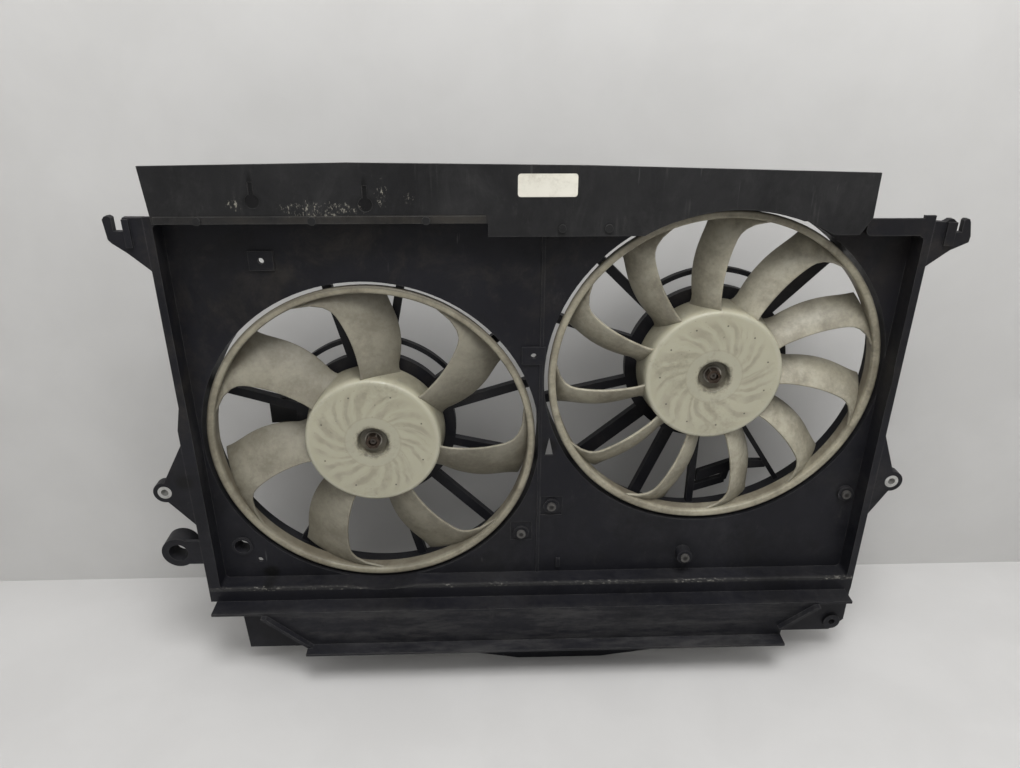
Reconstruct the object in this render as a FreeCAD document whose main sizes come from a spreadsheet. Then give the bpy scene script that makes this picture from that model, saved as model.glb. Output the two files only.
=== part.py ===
import FreeCAD, Part
import math
import os

import Sketcher

# Twin electric cooling fan module of a passenger car's radiator.
#
# X runs across the car, Y from the radiator side to the engine side, Z is up as the module is
# photographed. The origin lies midway between the two side bolts, on the face of their ears.

V = FreeCAD.Vector
doc = FreeCAD.newDocument("radiator_fan")

# Driving sizes in millimetres and degrees
SIZES = {
    # Places of the two fans and of the bolts
    "fan_left_x": 158.0, "fan_left_rise": 41.5,
    "fan_right_x": 173.4, "fan_right_rise": 108.1,
    "ear_reach": 24.0,
    # Tray: the shallow box that faces the radiator
    "tray_depth": 20.0, "tray_wall": 2.5, "tray_left": 324.0, "tray_right": 336.5,
    "tray_top": 262.5, "tray_top_right": 249.5, "tray_right_step": 287.0, "tray_bottom": 118.5,
    "flange_width": 4.5, "flange_thick": 3.0, "rim_left_top": 268.5, "rim_right_top": 264.5,
    "side_step_high": 91.0, "side_step_low": 68.0, "side_step": 5.0,
    "corner_round": 5.0,
    # Shelf, boxed lip and skirt under the tray
    "shelf_drop": 16.0, "shelf_reach": 20.0, "shelf_wall": 3.0, "shelf_left": 330.0,
    "shelf_right": 337.0,
    "lip_drop": 42.0, "lip_top_left": 279.0, "lip_top_right": 302.0,
    "lip_foot_left": 235.0, "lip_foot_right": 266.0, "lip_end_rise": 12.0, "lip_reach": 15.0,
    "cheek_reach": 6.0, "bow_start": 0.55, "bow_sag": 2.0,
    "skirt_left": 306.0, "skirt_right": 343.0, "skirt_left_drop": 62.0, "skirt_right_drop": 55.0,
    "skirt_bow_left": 67.0, "skirt_bow_right": 144.0, "skirt_bow_drop": 88.0,
    "skirt_end_lean": 3.0, "skirt_round": 14.0,
    # Fan openings and the spiders that carry the motors
    "ring_outer": 160.0, "ring_bore": 152.6, "ring_wall": 2.4, "ring_depth": 28.0,
    "ring_lip": 4.0, "seat_flange": 1.2, "tip_gap": 4.0, "collar_wall": 3.0, "collar_depth": 42.0,
    "arm_front": 54.0, "arm_depth": 8.0, "arc_inner": 94.5, "arc_outer": 99.0,
    "carrier_outer": 81.0, "carrier_wall": 4.0, "carrier_plate": 4.0,
    # Fans
    "hub_front": 66.0, "hub_back": 70.0, "hub_depth": 31.0, "hub_wall": 2.6, "hub_edge": 3.0,
    "dish_round": 15.5, "dish_depth": 8.0, "boss_outer": 12.0, "boss_depth": 14.0,
    "hub_rib_thick": 1.8, "hub_rib_count": 8.0, "hub_rib_depth": 9.0,
    "blade_thick": 3.0, "blade_edge": 1.5, "blade_front": 2.5, "blade_root_back": 28.5,
    "blade_tip_back": 25.5, "blade_camber": 3.4,
    "left_blades": 7.0, "left_root_span": 27.0, "left_tip_span": 22.0, "left_sweep": 13.7,
    "left_turn": 7.7,
    "right_blades": 11.0, "right_root_span": 16.6, "right_tip_span": 10.6, "right_sweep": 10.5,
    "right_turn": 23.5,
    # Motors
    "case_outer": 46.0, "case_wall": 2.0, "case_front": 42.0, "case_length": 56.0,
    "cover_wall": 2.5, "lug_thick": 3.0, "brush_long": 12.0, "slot_round": 3.2,
    "lug_circle": 58.0, "lug_round": 8.0, "lug_count": 3.0,
    "screw_hole": 2.7, "screw_shank": 2.5, "screw_head": 4.6, "screw_head_thick": 3.4,
    "screw_length": 15.0,
    "bearing_outer": 9.0, "bearing_length": 7.0, "shaft": 4.0, "shaft_gap": 0.04,
    "magnet_thick": 7.0, "magnet_length": 34.0, "magnet_arc": 126.0, "air_gap": 0.8,
    "stack_length": 28.0, "stack_teeth": 12.0, "slot_mouth": 3.0, "winding_overhang": 6.0,
    "commutator": 12.0, "card_thick": 3.0,
    "brush_wide": 6.0, "brush_high": 5.0,
    "nut_flats": 13.0, "nut_thick": 6.5, "washer": 8.6, "washer_thick": 1.6,
    "shaft_end": 2.5,
    "inlet_wide": 36.0, "inlet_high": 24.0, "inlet_depth": 18.0, "inlet_wall": 2.0,
    "blade_pin_wide": 6.3, "blade_pin_thick": 0.8, "blade_pin_gap": 12.0,
    # Ears, hooks and bushings
    "ear_thick": 10.0, "bush_outer": 6.7, "bush_hole": 3.5, "ear_boss": 11.0,
    "skirt_boss": 9.0, "skirt_boss_rise": 3.0, "skirt_boss_stand": 5.0, "skirt_bow_run": 26.0,
    "low_ear_depth": 20.0, "low_ear_half": 14.0,
    "floor_boss": 8.0, "floor_pad": 11.0, "rib_stand": 1.2, "sink_depth": 1.2, "floor_tube": 8.0, "floor_tube_depth": 16.0,
    "boss_screw_head": 4.6, "boss_screw_thick": 2.6, "boss_screw_length": 14.0,
    "hook_thick": 6.0, "hook_rib": 2.5, "low_ear_x": 359.0, "low_ear_drop": 71.5, "low_ear_round": 16.5,
    "low_ear_hole": 9.5,
    # Flap
    "flap_thick": 2.2, "flap_left": 323.0, "flap_right": 287.0, "flap_high": 310.0,
    "flap_low_right": 251.0, "flap_notch": 43.0,
    "flap_bow": 2.5, "keyhole": 6.0, "fold_rise": 1.6, "keyhole_depth": 0.8,
    "clip_head": 7.0, "clip_head_thick": 1.8,
    "label_wide": 50.0, "label_high": 19.0, "label_thick": 0.3, "label_round": 2.5,
    "fit": 0.05,
}


class Size:
    """A length or angle: the formula that follows the table of sizes, and its value now."""

    def __init__(self, formula, value):
        self.formula = formula
        self.value = value

    def _join(self, sign, other, value):
        return Size("(%s %s %s)" % (self.formula, sign, other.formula), value)

    def __add__(self, other):
        other = size(other)
        return self._join("+", other, self.value + other.value)

    def __radd__(self, other):
        return size(other) + self

    def __sub__(self, other):
        other = size(other)
        return self._join("-", other, self.value - other.value)

    def __rsub__(self, other):
        return size(other) - self

    def __mul__(self, other):
        other = size(other)
        return self._join("*", other, self.value * other.value)

    def __rmul__(self, other):
        return size(other) * self

    def __truediv__(self, other):
        other = size(other)
        return self._join("/", other, self.value / other.value)

    def __neg__(self):
        return size(0) - self


def size(item):
    """A plain number, or a Size, as a Size."""
    if isinstance(item, Size):
        return item
    return Size("(%r)" % float(item), float(item))


def cosine(angle):
    angle = size(angle)
    return Size("cos(%s)" % angle.formula, math.cos(math.radians(angle.value)))


def sine(angle):
    angle = size(angle)
    return Size("sin(%s)" % angle.formula, math.sin(math.radians(angle.value)))


def root(number):
    return Size("sqrt(%s)" % number.formula, math.sqrt(number.value))


class Table:
    """The spreadsheet of driving sizes, read as attributes."""

    def __init__(self, rows):
        sheet = doc.addObject("Spreadsheet::Sheet", "Sizes")
        for row, (alias, number) in enumerate(rows.items(), start=1):
            sheet.set("A%d" % row, alias.replace("_", " "))
            sheet.set("B%d" % row, str(number))
            sheet.setAlias("B%d" % row, alias)
        doc.recompute()
        for alias in rows:
            setattr(self, alias, Size("Sizes." + alias, float(getattr(sheet, alias))))


D = Table(SIZES)


class Plan:
    """A sketch on one of a body's own origin planes, every point tied to the table."""

    def __init__(self, body, name, role="XZ_Plane", shift=0):
        self.sketch = body.newObject("Sketcher::SketchObject", name)
        plane = [item for item in body.Origin.OriginFeatures if item.Role == role][0]
        self.sketch.AttachmentSupport = (plane, "")
        self.sketch.MapMode = "FlatFace"
        self.sketch.setExpression("AttachmentOffset.Base.z", size(shift).formula)

    def tie(self, kind, *where, length):
        """Add a dimension and bind it to its formula."""
        index = self.sketch.addConstraint(Sketcher.Constraint(kind, *where, length.value))
        self.sketch.setExpression("Constraints[%d]" % index, length.formula)

    def pin(self, item, point, x, y):
        """Hold one point of an edge at x, y."""
        self.tie("DistanceX", -1, 1, item, point, length=size(x))
        self.tie("DistanceY", -1, 1, item, point, length=size(y))

    def join(self, items):
        for index, item in enumerate(items):
            following = items[(index + 1) % len(items)]
            self.sketch.addConstraint(Sketcher.Constraint("Coincident", item, 2, following, 1))

    def corners(self, points):
        """A closed outline of straight edges through the points."""
        places = [V(size(x).value, size(y).value, 0) for x, y in points]
        items = []
        for index, place in enumerate(places):
            ahead = places[(index + 1) % len(places)]
            items.append(self.sketch.addGeometry(Part.LineSegment(place, ahead), False))
        self.join(items)
        for item, (x, y) in zip(items, points):
            self.pin(item, 1, x, y)
        return self

    def box(self, left, low, right, high):
        return self.corners([(left, low), (right, low), (right, high), (left, high)])

    def circle(self, x, y, radius):
        x, y, radius = size(x), size(y), size(radius)
        item = self.sketch.addGeometry(Part.Circle(V(x.value, y.value, 0), V(0, 0, 1), radius.value), False)
        self.pin(item, 3, x, y)
        self.tie("Radius", item, length=radius)
        return self

    def sector(self, x, y, inner, outer, start, end):
        """A piece of a ring between two angles."""
        first = []
        for radius in (inner, outer):
            arc = Part.ArcOfCircle(Part.Circle(V(size(x).value, size(y).value, 0), V(0, 0, 1), radius.value),
                                   math.radians(start), math.radians(end))
            item = self.sketch.addGeometry(arc, False)
            self.pin(item, 3, x, y)
            self.pin(item, 1, x + radius * cosine(start), y + radius * sine(start))
            if abs(math.sin(math.radians(end))) > abs(math.cos(math.radians(end))):
                self.tie("DistanceX", -1, 1, item, 2, length=x + radius * cosine(end))
            else:
                self.tie("DistanceY", -1, 1, item, 2, length=y + radius * sine(end))
            first.append(item)
        for point in (1, 2):
            ends = [x + r * cosine(a) for r, a in ((inner, start), (outer, start))]
            angle = math.radians(start if point == 1 else end)
            places = [V(size(x).value + r.value * math.cos(angle), size(y).value + r.value * math.sin(angle), 0)
                      for r in (inner, outer)]
            line = self.sketch.addGeometry(Part.LineSegment(places[0], places[1]), False)
            self.sketch.addConstraint(Sketcher.Constraint("Coincident", line, 1, first[0], point))
            self.sketch.addConstraint(Sketcher.Constraint("Coincident", line, 2, first[1], point))
        return self


def new_body(label, x=0, y=0, z=0, turn=0):
    """An empty body, moved to its place and turned about the fan axis."""
    body = doc.addObject("PartDesign::Body", label)
    body.Label = label
    body.Placement = FreeCAD.Placement(V(0, 0, 0), FreeCAD.Rotation(V(0, 1, 0), size(turn).value or 90))
    for axis, place in zip("xyz", (x, y, z)):
        body.setExpression("Placement.Base.%s" % axis, size(place).formula)
    body.setExpression("Placement.Rotation.Angle", size(turn).formula)
    return body


def front(body, name, depth=0):
    """A sketch seen from the radiator side, lying at a depth along Y."""
    return Plan(body, name, "XZ_Plane", -size(depth))


def feature(body, kind, plan, **values):
    """Add one feature of a body, with its sizes bound to the table."""
    item = body.newObject("PartDesign::" + kind, plan.sketch.Name + "_" + kind)
    item.Profile = plan.sketch
    for key, value in values.items():
        if isinstance(value, Size):
            item.setExpression(key, value.formula)
        else:
            setattr(item, key, value)
    return item


def pad(body, plan, length):
    """Material from the sketch towards the engine."""
    return feature(body, "Pad", plan, Length=size(length), Reversed=True)


def pocket(body, plan, length):
    """A cut from the sketch towards the engine."""
    return feature(body, "Pocket", plan, Length=size(length))


def turned(body, name, points, kind="Revolution"):
    """A profile of radius and depth, turned about the Y axis."""
    plan = Plan(body, name, "XY_Plane").corners(points)
    return feature(body, kind, plan, ReferenceAxis=(plan.sketch, ["V_Axis"]), Angle=360.0)


def around(body, items, count):
    """Repeat features evenly about the Y axis."""
    pattern = body.newObject("PartDesign::PolarPattern", items[0].Name + "_around")
    pattern.Originals = items
    axis = [entry for entry in body.Origin.OriginFeatures if entry.Role == "Y_Axis"][0]
    pattern.Axis = (axis, [""])
    pattern.Angle = 360.0
    pattern.setExpression("Occurrences", size(count).formula)
    body.Tip = pattern
    return pattern


def round_edges(body, radius, chosen):
    """Round the edges of the body so far that the test picks."""
    doc.recompute()
    base = body.Tip
    names = ["Edge%d" % (n + 1) for n, edge in enumerate(base.Shape.Edges) if chosen(edge)]
    item = body.newObject("PartDesign::Fillet", base.Name + "_round")
    item.Base = (base, names)
    item.setExpression("Radius", size(radius).formula)
    return item


def rough(body):
    """Leave the merging of faces to the piece that takes this body in."""
    for item in body.Group:
        if hasattr(item, "Refine"):
            item.Refine = False
    return body


OPENING = D.ring_outer + D.tip_gap
TRAY_BACK = D.tray_depth + D.tray_wall
SHELF_TOP = -(D.tray_bottom + D.shelf_drop)
SHELF_FOOT = SHELF_TOP - D.shelf_wall
LIP_FOOT = SHELF_TOP - D.lip_drop
RIM_LEFT = -(D.tray_left + D.tray_wall + D.flange_width)
RIM_SWELL = RIM_LEFT - D.side_step
RIM_RIGHT = D.tray_right + D.tray_wall + D.flange_width
BOLT_SPAN = D.ear_reach - RIM_SWELL
LUG_BEARING = 90
CASE_HOLE = D.case_outer + 2

# For each fan: where its axis stands, and the bearing and width of each arm behind it
FANS = {
    "left": (-D.fan_left_x, D.fan_left_rise,
             ((163, 9), (104, 9), (78, 8), (38, 9), (17, 9), (-13, 9), (-45, 10), (-76, 9), (-122, 10))),
    "right": (D.fan_right_x, D.fan_right_rise,
              ((162, 9), (136, 9), (46, 14), (-10, 8), (-56, 5), (-90, 7), (-112, 11), (-140, 14), (-167, 9))),
}
ARC_SPANS = {"left": (16, 160), "right": (46, 136)}

# Screw bosses on the tray's floor: across, rise, height above the floor
FLOOR_BOSSES = ((-11, -68.5, 1), (20, -35.5, 1), (162, -95.5, 11), (325, -24.5, 4))
FLOOR_TUBE = (-301, -78.5)
SMALL_HOLE = (-285, -96.5)
SKIRT_BOSS = (329, -176.5)
FLAT_PEG = (28.5, -106, 2, 5)
CORNER_TAB = (333.5, 248, 267)
MIDDLE_RIB = (5, 8, 246)
WIRE_SLOT = ((12, 24), (20, 24), (16, 44))
FLOOR_PADS = ((-243, 225.5), (-1, 132.5))
# Squares sunk round two of the bosses
FLOOR_SINKS = ((-11, -66), (20, -35.5))


def tray():
    """The shallow box that faces the radiator, with its rim and two fan openings."""
    body = new_body("tray")
    low = -(D.tray_bottom + D.tray_wall)
    left = -(D.tray_left + D.tray_wall)
    right = D.tray_right + D.tray_wall
    step_top = D.tray_top_right + D.tray_wall
    top = D.tray_top + D.tray_wall
    pad(body, front(body, "tray_outline").corners([
        (left, low), (right, low), (right, step_top), (D.tray_right_step, step_top),
        (D.tray_right_step, top), (left, top)]), TRAY_BACK)
    pad(body, front(body, "rim_outline").corners([
        (RIM_SWELL, SHELF_TOP), (RIM_RIGHT, SHELF_TOP), (RIM_RIGHT, D.rim_right_top),
        (-D.flap_notch, D.rim_right_top), (-D.flap_notch, D.rim_left_top), (RIM_LEFT, D.rim_left_top),
        (RIM_LEFT, D.side_step_high), (RIM_SWELL, D.side_step_low)]), D.flange_thick)
    bulges = front(body, "bulges")
    openings = front(body, "openings", -1)
    for x, z, arms in FANS.values():
        bulges.circle(x, z, OPENING + D.collar_wall)
        openings.circle(x, z, OPENING)
    pad(body, bulges, TRAY_BACK)
    pocket(body, front(body, "tray_hollow").corners([
        (-D.tray_left, -D.tray_bottom), (D.tray_right, -D.tray_bottom), (D.tray_right, D.tray_top_right),
        (D.tray_right_step - D.tray_wall, D.tray_top_right), (D.tray_right_step - D.tray_wall, D.tray_top),
        (-D.tray_left, D.tray_top)]), D.tray_depth)
    round_edges(body, D.corner_round, lambda edge: is_corner(edge, D.tray_depth.value))
    pocket(body, openings, TRAY_BACK + 2)
    tab_left, tab_low, tab_top = CORNER_TAB
    pad(body, front(body, "corner_tab").box(tab_left, tab_low, RIM_RIGHT, tab_top), D.flange_thick)
    rib_left, rib_right, rib_top = MIDDLE_RIB
    rib = front(body, "middle_rib", D.tray_depth - D.rib_stand)
    pad(body, rib.box(rib_left, -D.tray_bottom - 1, rib_right, rib_top), D.rib_stand + D.tray_wall)
    sinks = front(body, "floor_sinks", D.tray_depth - 1)
    for x, z in FLOOR_SINKS:
        sinks.box(x - D.floor_pad, z - D.floor_pad, x + D.floor_pad, z + D.floor_pad)
    pocket(body, sinks, D.sink_depth + 1)
    holes = front(body, "floor_holes", -1)
    for n, (x, z, high) in enumerate(FLOOR_BOSSES):
        boss = front(body, "floor_boss_%d" % n, D.tray_depth - high).circle(x, z, D.floor_boss)
        pad(body, boss, D.tray_wall + high)
        holes.circle(x, z, D.screw_hole)
    pads = front(body, "floor_pads", D.tray_depth - 2)
    for x, z in FLOOR_PADS:
        pads.box(x - D.floor_pad, z - D.floor_pad * 0.8, x + D.floor_pad, z + D.floor_pad * 0.8)
        holes.circle(x, z, D.screw_hole)
    pad(body, pads, D.tray_wall + 2)
    tube = front(body, "floor_tube", D.tray_depth - 2).circle(*FLOOR_TUBE, D.floor_tube + D.tray_wall)
    pad(body, tube, D.floor_tube_depth + 2)
    holes.circle(*FLOOR_TUBE, D.floor_tube)
    holes.circle(*SMALL_HOLE, D.screw_hole)
    holes.corners(WIRE_SLOT)
    x, z, half, high = FLAT_PEG
    pad(body, front(body, "flat_peg", D.tray_depth - 3).box(x - half, z - high, x + half, z + high), 4)
    pocket(body, holes, D.tray_depth + D.floor_tube_depth + 2)
    return rough(body)


def is_corner(edge, depth):
    """Whether an edge runs along Y through the tray's depth."""
    if len(edge.Vertexes) != 2:
        return False
    run = edge.Vertexes[1].Point - edge.Vertexes[0].Point
    return abs(abs(run.y) - run.Length) < 1e-6 and abs(run.Length - depth) < 1e-3


def lower_lip():
    """The shelf, the boxed lip with its cheeks, and the skirt."""
    body = new_body("lower_lip")
    wall = D.tray_wall
    pad(body, front(body, "shelf", -D.shelf_reach).box(-D.shelf_left, SHELF_FOOT, D.shelf_right, SHELF_TOP),
        D.shelf_reach + D.flange_thick)
    left_low = SHELF_TOP - D.skirt_left_drop
    right_low = SHELF_TOP - D.skirt_right_drop
    bow_low = SHELF_TOP - D.skirt_bow_drop
    bow_start = left_low + (bow_low - left_low) * D.bow_start
    pad(body, front(body, "skirt").corners([
        (-D.skirt_left, SHELF_TOP), (D.skirt_end_lean - D.skirt_left, left_low),
        (-D.skirt_bow_left - 2 * D.skirt_bow_run, left_low), (-D.skirt_bow_left, bow_start),
        (-D.skirt_bow_run / 2, bow_low + D.bow_sag), (D.skirt_bow_run * 3, bow_low + D.bow_sag),
        (D.skirt_bow_right, bow_start),
        (D.skirt_bow_right + 2 * D.skirt_bow_run, right_low), (D.skirt_right - D.skirt_round, right_low),
        (D.skirt_right, right_low + D.skirt_round), (D.skirt_right, SHELF_TOP)]), D.flange_thick)
    pad(body, front(body, "lip", -D.shelf_reach).corners([
        (-D.lip_foot_left, LIP_FOOT - wall), (D.lip_foot_right, LIP_FOOT - wall),
        (D.lip_foot_right, LIP_FOOT + D.lip_end_rise), (D.lip_top_right, SHELF_FOOT),
        (-D.lip_top_left, SHELF_FOOT)]), D.shelf_reach + D.flange_thick)
    pocket(body, front(body, "lip_hollow", wall - D.shelf_reach).corners([
        (wall * 2 - D.lip_foot_left, LIP_FOOT), (D.lip_foot_right - wall * 2, LIP_FOOT),
        (D.lip_foot_right - wall * 2, LIP_FOOT + D.lip_end_rise), (D.lip_top_right - wall * 2, SHELF_FOOT),
        (wall * 2 - D.lip_top_left, SHELF_FOOT)]),
        D.shelf_reach + D.flange_thick)
    pad(body, front(body, "lip_ledge", -(D.shelf_reach + D.lip_reach)).box(
        -D.lip_foot_left, LIP_FOOT - wall, D.lip_foot_right, LIP_FOOT), D.lip_reach)
    cheeks = front(body, "cheeks", -(D.shelf_reach + D.cheek_reach))
    for side, foot, head, rise in ((1, -D.lip_foot_left, -D.lip_top_left, size(0)),
                                   (-1, D.lip_foot_right, D.lip_top_right, D.lip_end_rise)):
        inner = wall * (2 * side)
        low = LIP_FOOT + rise
        cheeks.corners([(foot, low), (foot + inner, low), (head + inner, SHELF_FOOT), (head, SHELF_FOOT)])
    pad(body, cheeks, D.cheek_reach)
    boss = front(body, "skirt_boss", -D.skirt_boss_rise).circle(*SKIRT_BOSS, D.skirt_boss)
    pad(body, boss, D.skirt_boss_rise + D.skirt_boss_stand)
    pocket(body, front(body, "skirt_hole", -D.skirt_boss_rise - 1).circle(*SKIRT_BOSS, D.bush_hole),
           D.skirt_boss_rise + D.skirt_boss_stand + 2)
    return rough(body)


def ray(x, z, radius, bearing, aside=0):
    """A point at a radius and bearing from x, z, moved sideways off the ray."""
    return (x + radius * cosine(bearing) - aside * sine(bearing),
            z + radius * sine(bearing) + aside * cosine(bearing))


# The loop between two arms that holds the plug of the right motor's lead, about the fan's centre
PLUG_LOOP = (((5, -138), (44, -124), (78, -122), (80, -114), (41, -113), (6, -126)),
             ((3, -151), (36, -140), (36, -132), (4, -142)),
             ((31, -139), (38, -136), (42, -116), (35, -118)))


def spider(side):
    """The collar behind one fan opening, with the arms and the ring that carry the motor."""
    x, z, arms = FANS[side]
    body = new_body(side + "_spider")
    pad(body, front(body, side + "_collar", TRAY_BACK).circle(x, z, OPENING + D.collar_wall)
        .circle(x, z, OPENING), D.tray_depth + D.collar_depth - TRAY_BACK)
    root = OPENING + D.collar_wall
    pad(body, front(body, side + "_seat_flange", TRAY_BACK).circle(x, z, root + D.seat_flange)
        .circle(x, z, root - 1), D.flange_thick)
    bars = front(body, side + "_arms", D.arm_front)
    for bearing, width in arms:
        half = size(width / 2)
        near = ray(x, z, D.carrier_outer - 3, bearing, -half), ray(x, z, D.carrier_outer - 3, bearing, half)
        far = ray(x, z, OPENING + 1.5, bearing, half), ray(x, z, OPENING + 1.5, bearing, -half)
        bars.corners([*near[:1], far[1], far[0], near[1]])
    pad(body, bars, D.arm_depth)
    pad(body, front(body, side + "_carrier_rim", D.arm_front).circle(x, z, D.carrier_outer)
        .circle(x, z, D.carrier_outer - D.carrier_wall), D.arm_depth)
    pad(body, front(body, side + "_carrier", D.arm_front).circle(x, z, D.carrier_outer - 1)
        .circle(x, z, CASE_HOLE), D.carrier_plate)
    pad(body, front(body, side + "_case_seat", D.arm_front + D.carrier_plate / 2)
        .circle(x, z, CASE_HOLE + D.carrier_wall).circle(x, z, CASE_HOLE), D.arm_depth)
    start, end = ARC_SPANS[side]
    pad(body, front(body, side + "_arc", D.arm_front + 1).sector(x, z, D.arc_inner, D.arc_outer, start, end),
        D.arm_depth - 2)
    bosses = front(body, side + "_screw_bosses", D.arm_front + 1)
    holes = front(body, side + "_screw_holes", D.arm_front - 1)
    for n in range(int(D.lug_count.value)):
        place = ray(x, z, D.lug_circle, LUG_BEARING + 360 * n / D.lug_count.value)
        bosses.circle(*place, D.screw_hole + 3)
        holes.circle(*place, D.screw_hole)
    pad(body, bosses, D.screw_length)
    pocket(body, holes, D.screw_length + 4)
    if side == "right":
        for n, outline in enumerate(PLUG_LOOP):
            loop = front(body, "plug_loop_%d" % n, D.arm_front + 1)
            loop.corners([(x + across, z + rise) for across, rise in outline])
            pad(body, loop, D.arm_depth - 2)
    return [body]


# Outlines of the hooks, as seen from the radiator side; the first and last points lie on the rim
HOOKS = {"left": ((222, 268), ((-347.5, 268), (-347.5, 256.5), (-356.5, 256.5), (-356.5, 268), (-359, 269.5),
                               (-362, 269), (-364, 266.5), (-362.5, 249.5), (-360, 246.5), (-348, 237.5))),
         "right": ((222, 262), ((352, 261.5), (354, 262.5), (356, 264), (359.5, 264), (362.4, 261.5),
                                (363, 252.5), (369, 252.5), (369, 262.5), (370.5, 264), (373.5, 263.8),
                                (374.8, 261), (377.6, 249), (377, 243.5), (362, 236.5)))}
HOOK_RIBS = {"left": (-347.5, -342, 243, 267), "right": (354, 362.4, 241, 261.5)}
EAR_TOP = 52
EAR_FOOT = -38


def bolt_ear(side, rim):
    """The ear that one of the two side bolts goes through."""
    way = -1 if side == "left" else 1
    body = new_body(side + "_bolt_ear")
    pad(body, front(body, side + "_ear_plate").corners([
        (rim, EAR_FOOT), (way * BOLT_SPAN, -9), (way * BOLT_SPAN, 9), (rim, EAR_TOP)]), D.flange_thick)
    pad(body, front(body, side + "_ear_boss").circle(way * BOLT_SPAN, 0, D.ear_boss), D.ear_thick)
    pocket(body, front(body, side + "_bush_seat", -1).circle(way * BOLT_SPAN, 0, D.bush_outer + D.fit),
           D.ear_thick + 2)
    return body


def low_ear():
    """The rounded ear with a deep tube, below the left bolt ear."""
    body = new_body("low_ear")
    low = -D.low_ear_drop
    plate = front(body, "low_ear_plate")
    pad(body, plate.box(-D.low_ear_x, low - D.low_ear_half, RIM_SWELL, low + D.low_ear_half), D.flange_thick)
    pad(body, front(body, "low_ear_tube").circle(-D.low_ear_x, low, D.low_ear_round), D.low_ear_depth)
    pocket(body, front(body, "low_ear_bore", -1).circle(-D.low_ear_x, low, D.low_ear_hole), D.low_ear_depth + 2)
    return body


def hook(side, rim):
    """One of the two slotted hooks at the upper corners, with the rib beside its slot."""
    body = new_body(side + "_hook")
    (foot, head), outline = HOOKS[side]
    pad(body, front(body, side + "_hook_outline").corners([(rim, foot), (rim, head), *outline]), D.hook_thick)
    left, right, low, high = HOOK_RIBS[side]
    pad(body, front(body, side + "_hook_rib", -D.hook_rib).box(left, low, right, high), D.hook_rib + 1)
    return body


def side_fittings():
    """Everything that stands out from the tray's two sides."""
    return [bolt_ear("left", RIM_SWELL), bolt_ear("right", RIM_RIGHT), low_ear(), hook("left", RIM_LEFT),
            hook("right", RIM_RIGHT)]


def boss_screws():
    """Screws in the tray's floor bosses."""
    body = new_body("boss_screws")
    for n, (x, z, high) in enumerate(FLOOR_BOSSES):
        face = D.tray_depth - high
        pad(body, front(body, "boss_screw_head_%d" % n, face - D.boss_screw_thick)
            .circle(x, z, D.boss_screw_head), D.boss_screw_thick)
        pad(body, front(body, "boss_screw_shank_%d" % n, face - 0.5).circle(x, z, D.screw_shank),
            D.boss_screw_length)
    return [body]


def shroud():
    """The moulded tray with its lip and skirt."""
    whole = doc.addObject("Part::MultiFuse", "shroud")
    whole.Shapes = [tray(), lower_lip()]
    return [whole]


def place(point):
    return V(point[0].value, point[1].value, 0)


def blade_section(body, name, side, share):
    """The curved outline of a blade at a share of the way from hub to ring."""
    mirror = MIRROR[side]
    reach = max(share, 0.0)
    radius = D.hub_front + (D.ring_bore - D.hub_front) * share
    middle = SWEEP[side] * reach ** 1.85
    half = (ROOT_SPAN[side] + (TIP_SPAN[side] - ROOT_SPAN[side]) * reach) / 2
    back = D.blade_root_back + (D.blade_tip_back - D.blade_root_back) * reach
    lead = [-mirror * radius * sine(middle + half) / cosine(middle + half), D.blade_front]
    trail = [-mirror * radius * sine(middle - half) / cosine(middle - half), back]
    run, rise = trail[0] - lead[0], trail[1] - lead[1]
    chord = root(run * run + rise * rise)
    aside = (mirror * rise / chord, -mirror * run / chord)
    centre = [(a + b) / 2 for a, b in zip(lead, trail)]

    def shifted(point, distance):
        return [p + distance * a for p, a in zip(point, aside)]

    plan = Plan(body, name, "XY_Plane", radius)
    sketch = plan.sketch
    ends = []
    for face in (1, -1):
        first = shifted(lead, face * D.blade_edge / 2)
        last = shifted(trail, face * D.blade_edge / 2)
        if mirror < 0:
            first, last = last, first
        crest = shifted(centre, D.blade_camber + face * D.blade_thick / 2)
        item = sketch.addGeometry(Part.Arc(place(first), place(crest), place(last)), False)
        forward = sketch.Geometry[item].StartPoint.distanceToPoint(place(first)) < 0.01
        points = (1, 2) if forward else (2, 1)
        plan.pin(item, points[0], *first)
        plan.pin(item, points[1], *last)
        dot = sketch.addGeometry(Part.Point(place(crest)), True)
        plan.pin(dot, 1, *crest)
        sketch.addConstraint(Sketcher.Constraint("PointOnObject", dot, 1, item))
        ends.append((item, points, (first, last)))
    for which in (0, 1):
        (item, points, spots), (other, other_points, other_spots) = ends
        line = sketch.addGeometry(Part.LineSegment(place(spots[which]), place(other_spots[which])), False)
        sketch.addConstraint(Sketcher.Constraint("Coincident", line, 1, item, points[which]))
        sketch.addConstraint(Sketcher.Constraint("Coincident", line, 2, other, other_points[which]))
    return sketch


MIRROR = {"left": 1, "right": -1}
SWEEP = {"left": D.left_sweep, "right": D.right_sweep}
ROOT_SPAN = {"left": D.left_root_span, "right": D.right_root_span}
TIP_SPAN = {"left": D.left_tip_span, "right": D.right_tip_span}
TURN = {"left": D.left_turn, "right": D.right_turn}
BLADES = {"left": D.left_blades, "right": D.right_blades}
BLADE_SHARES = (-0.08, 0.0, 0.33, 0.66, 1.06)


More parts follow.
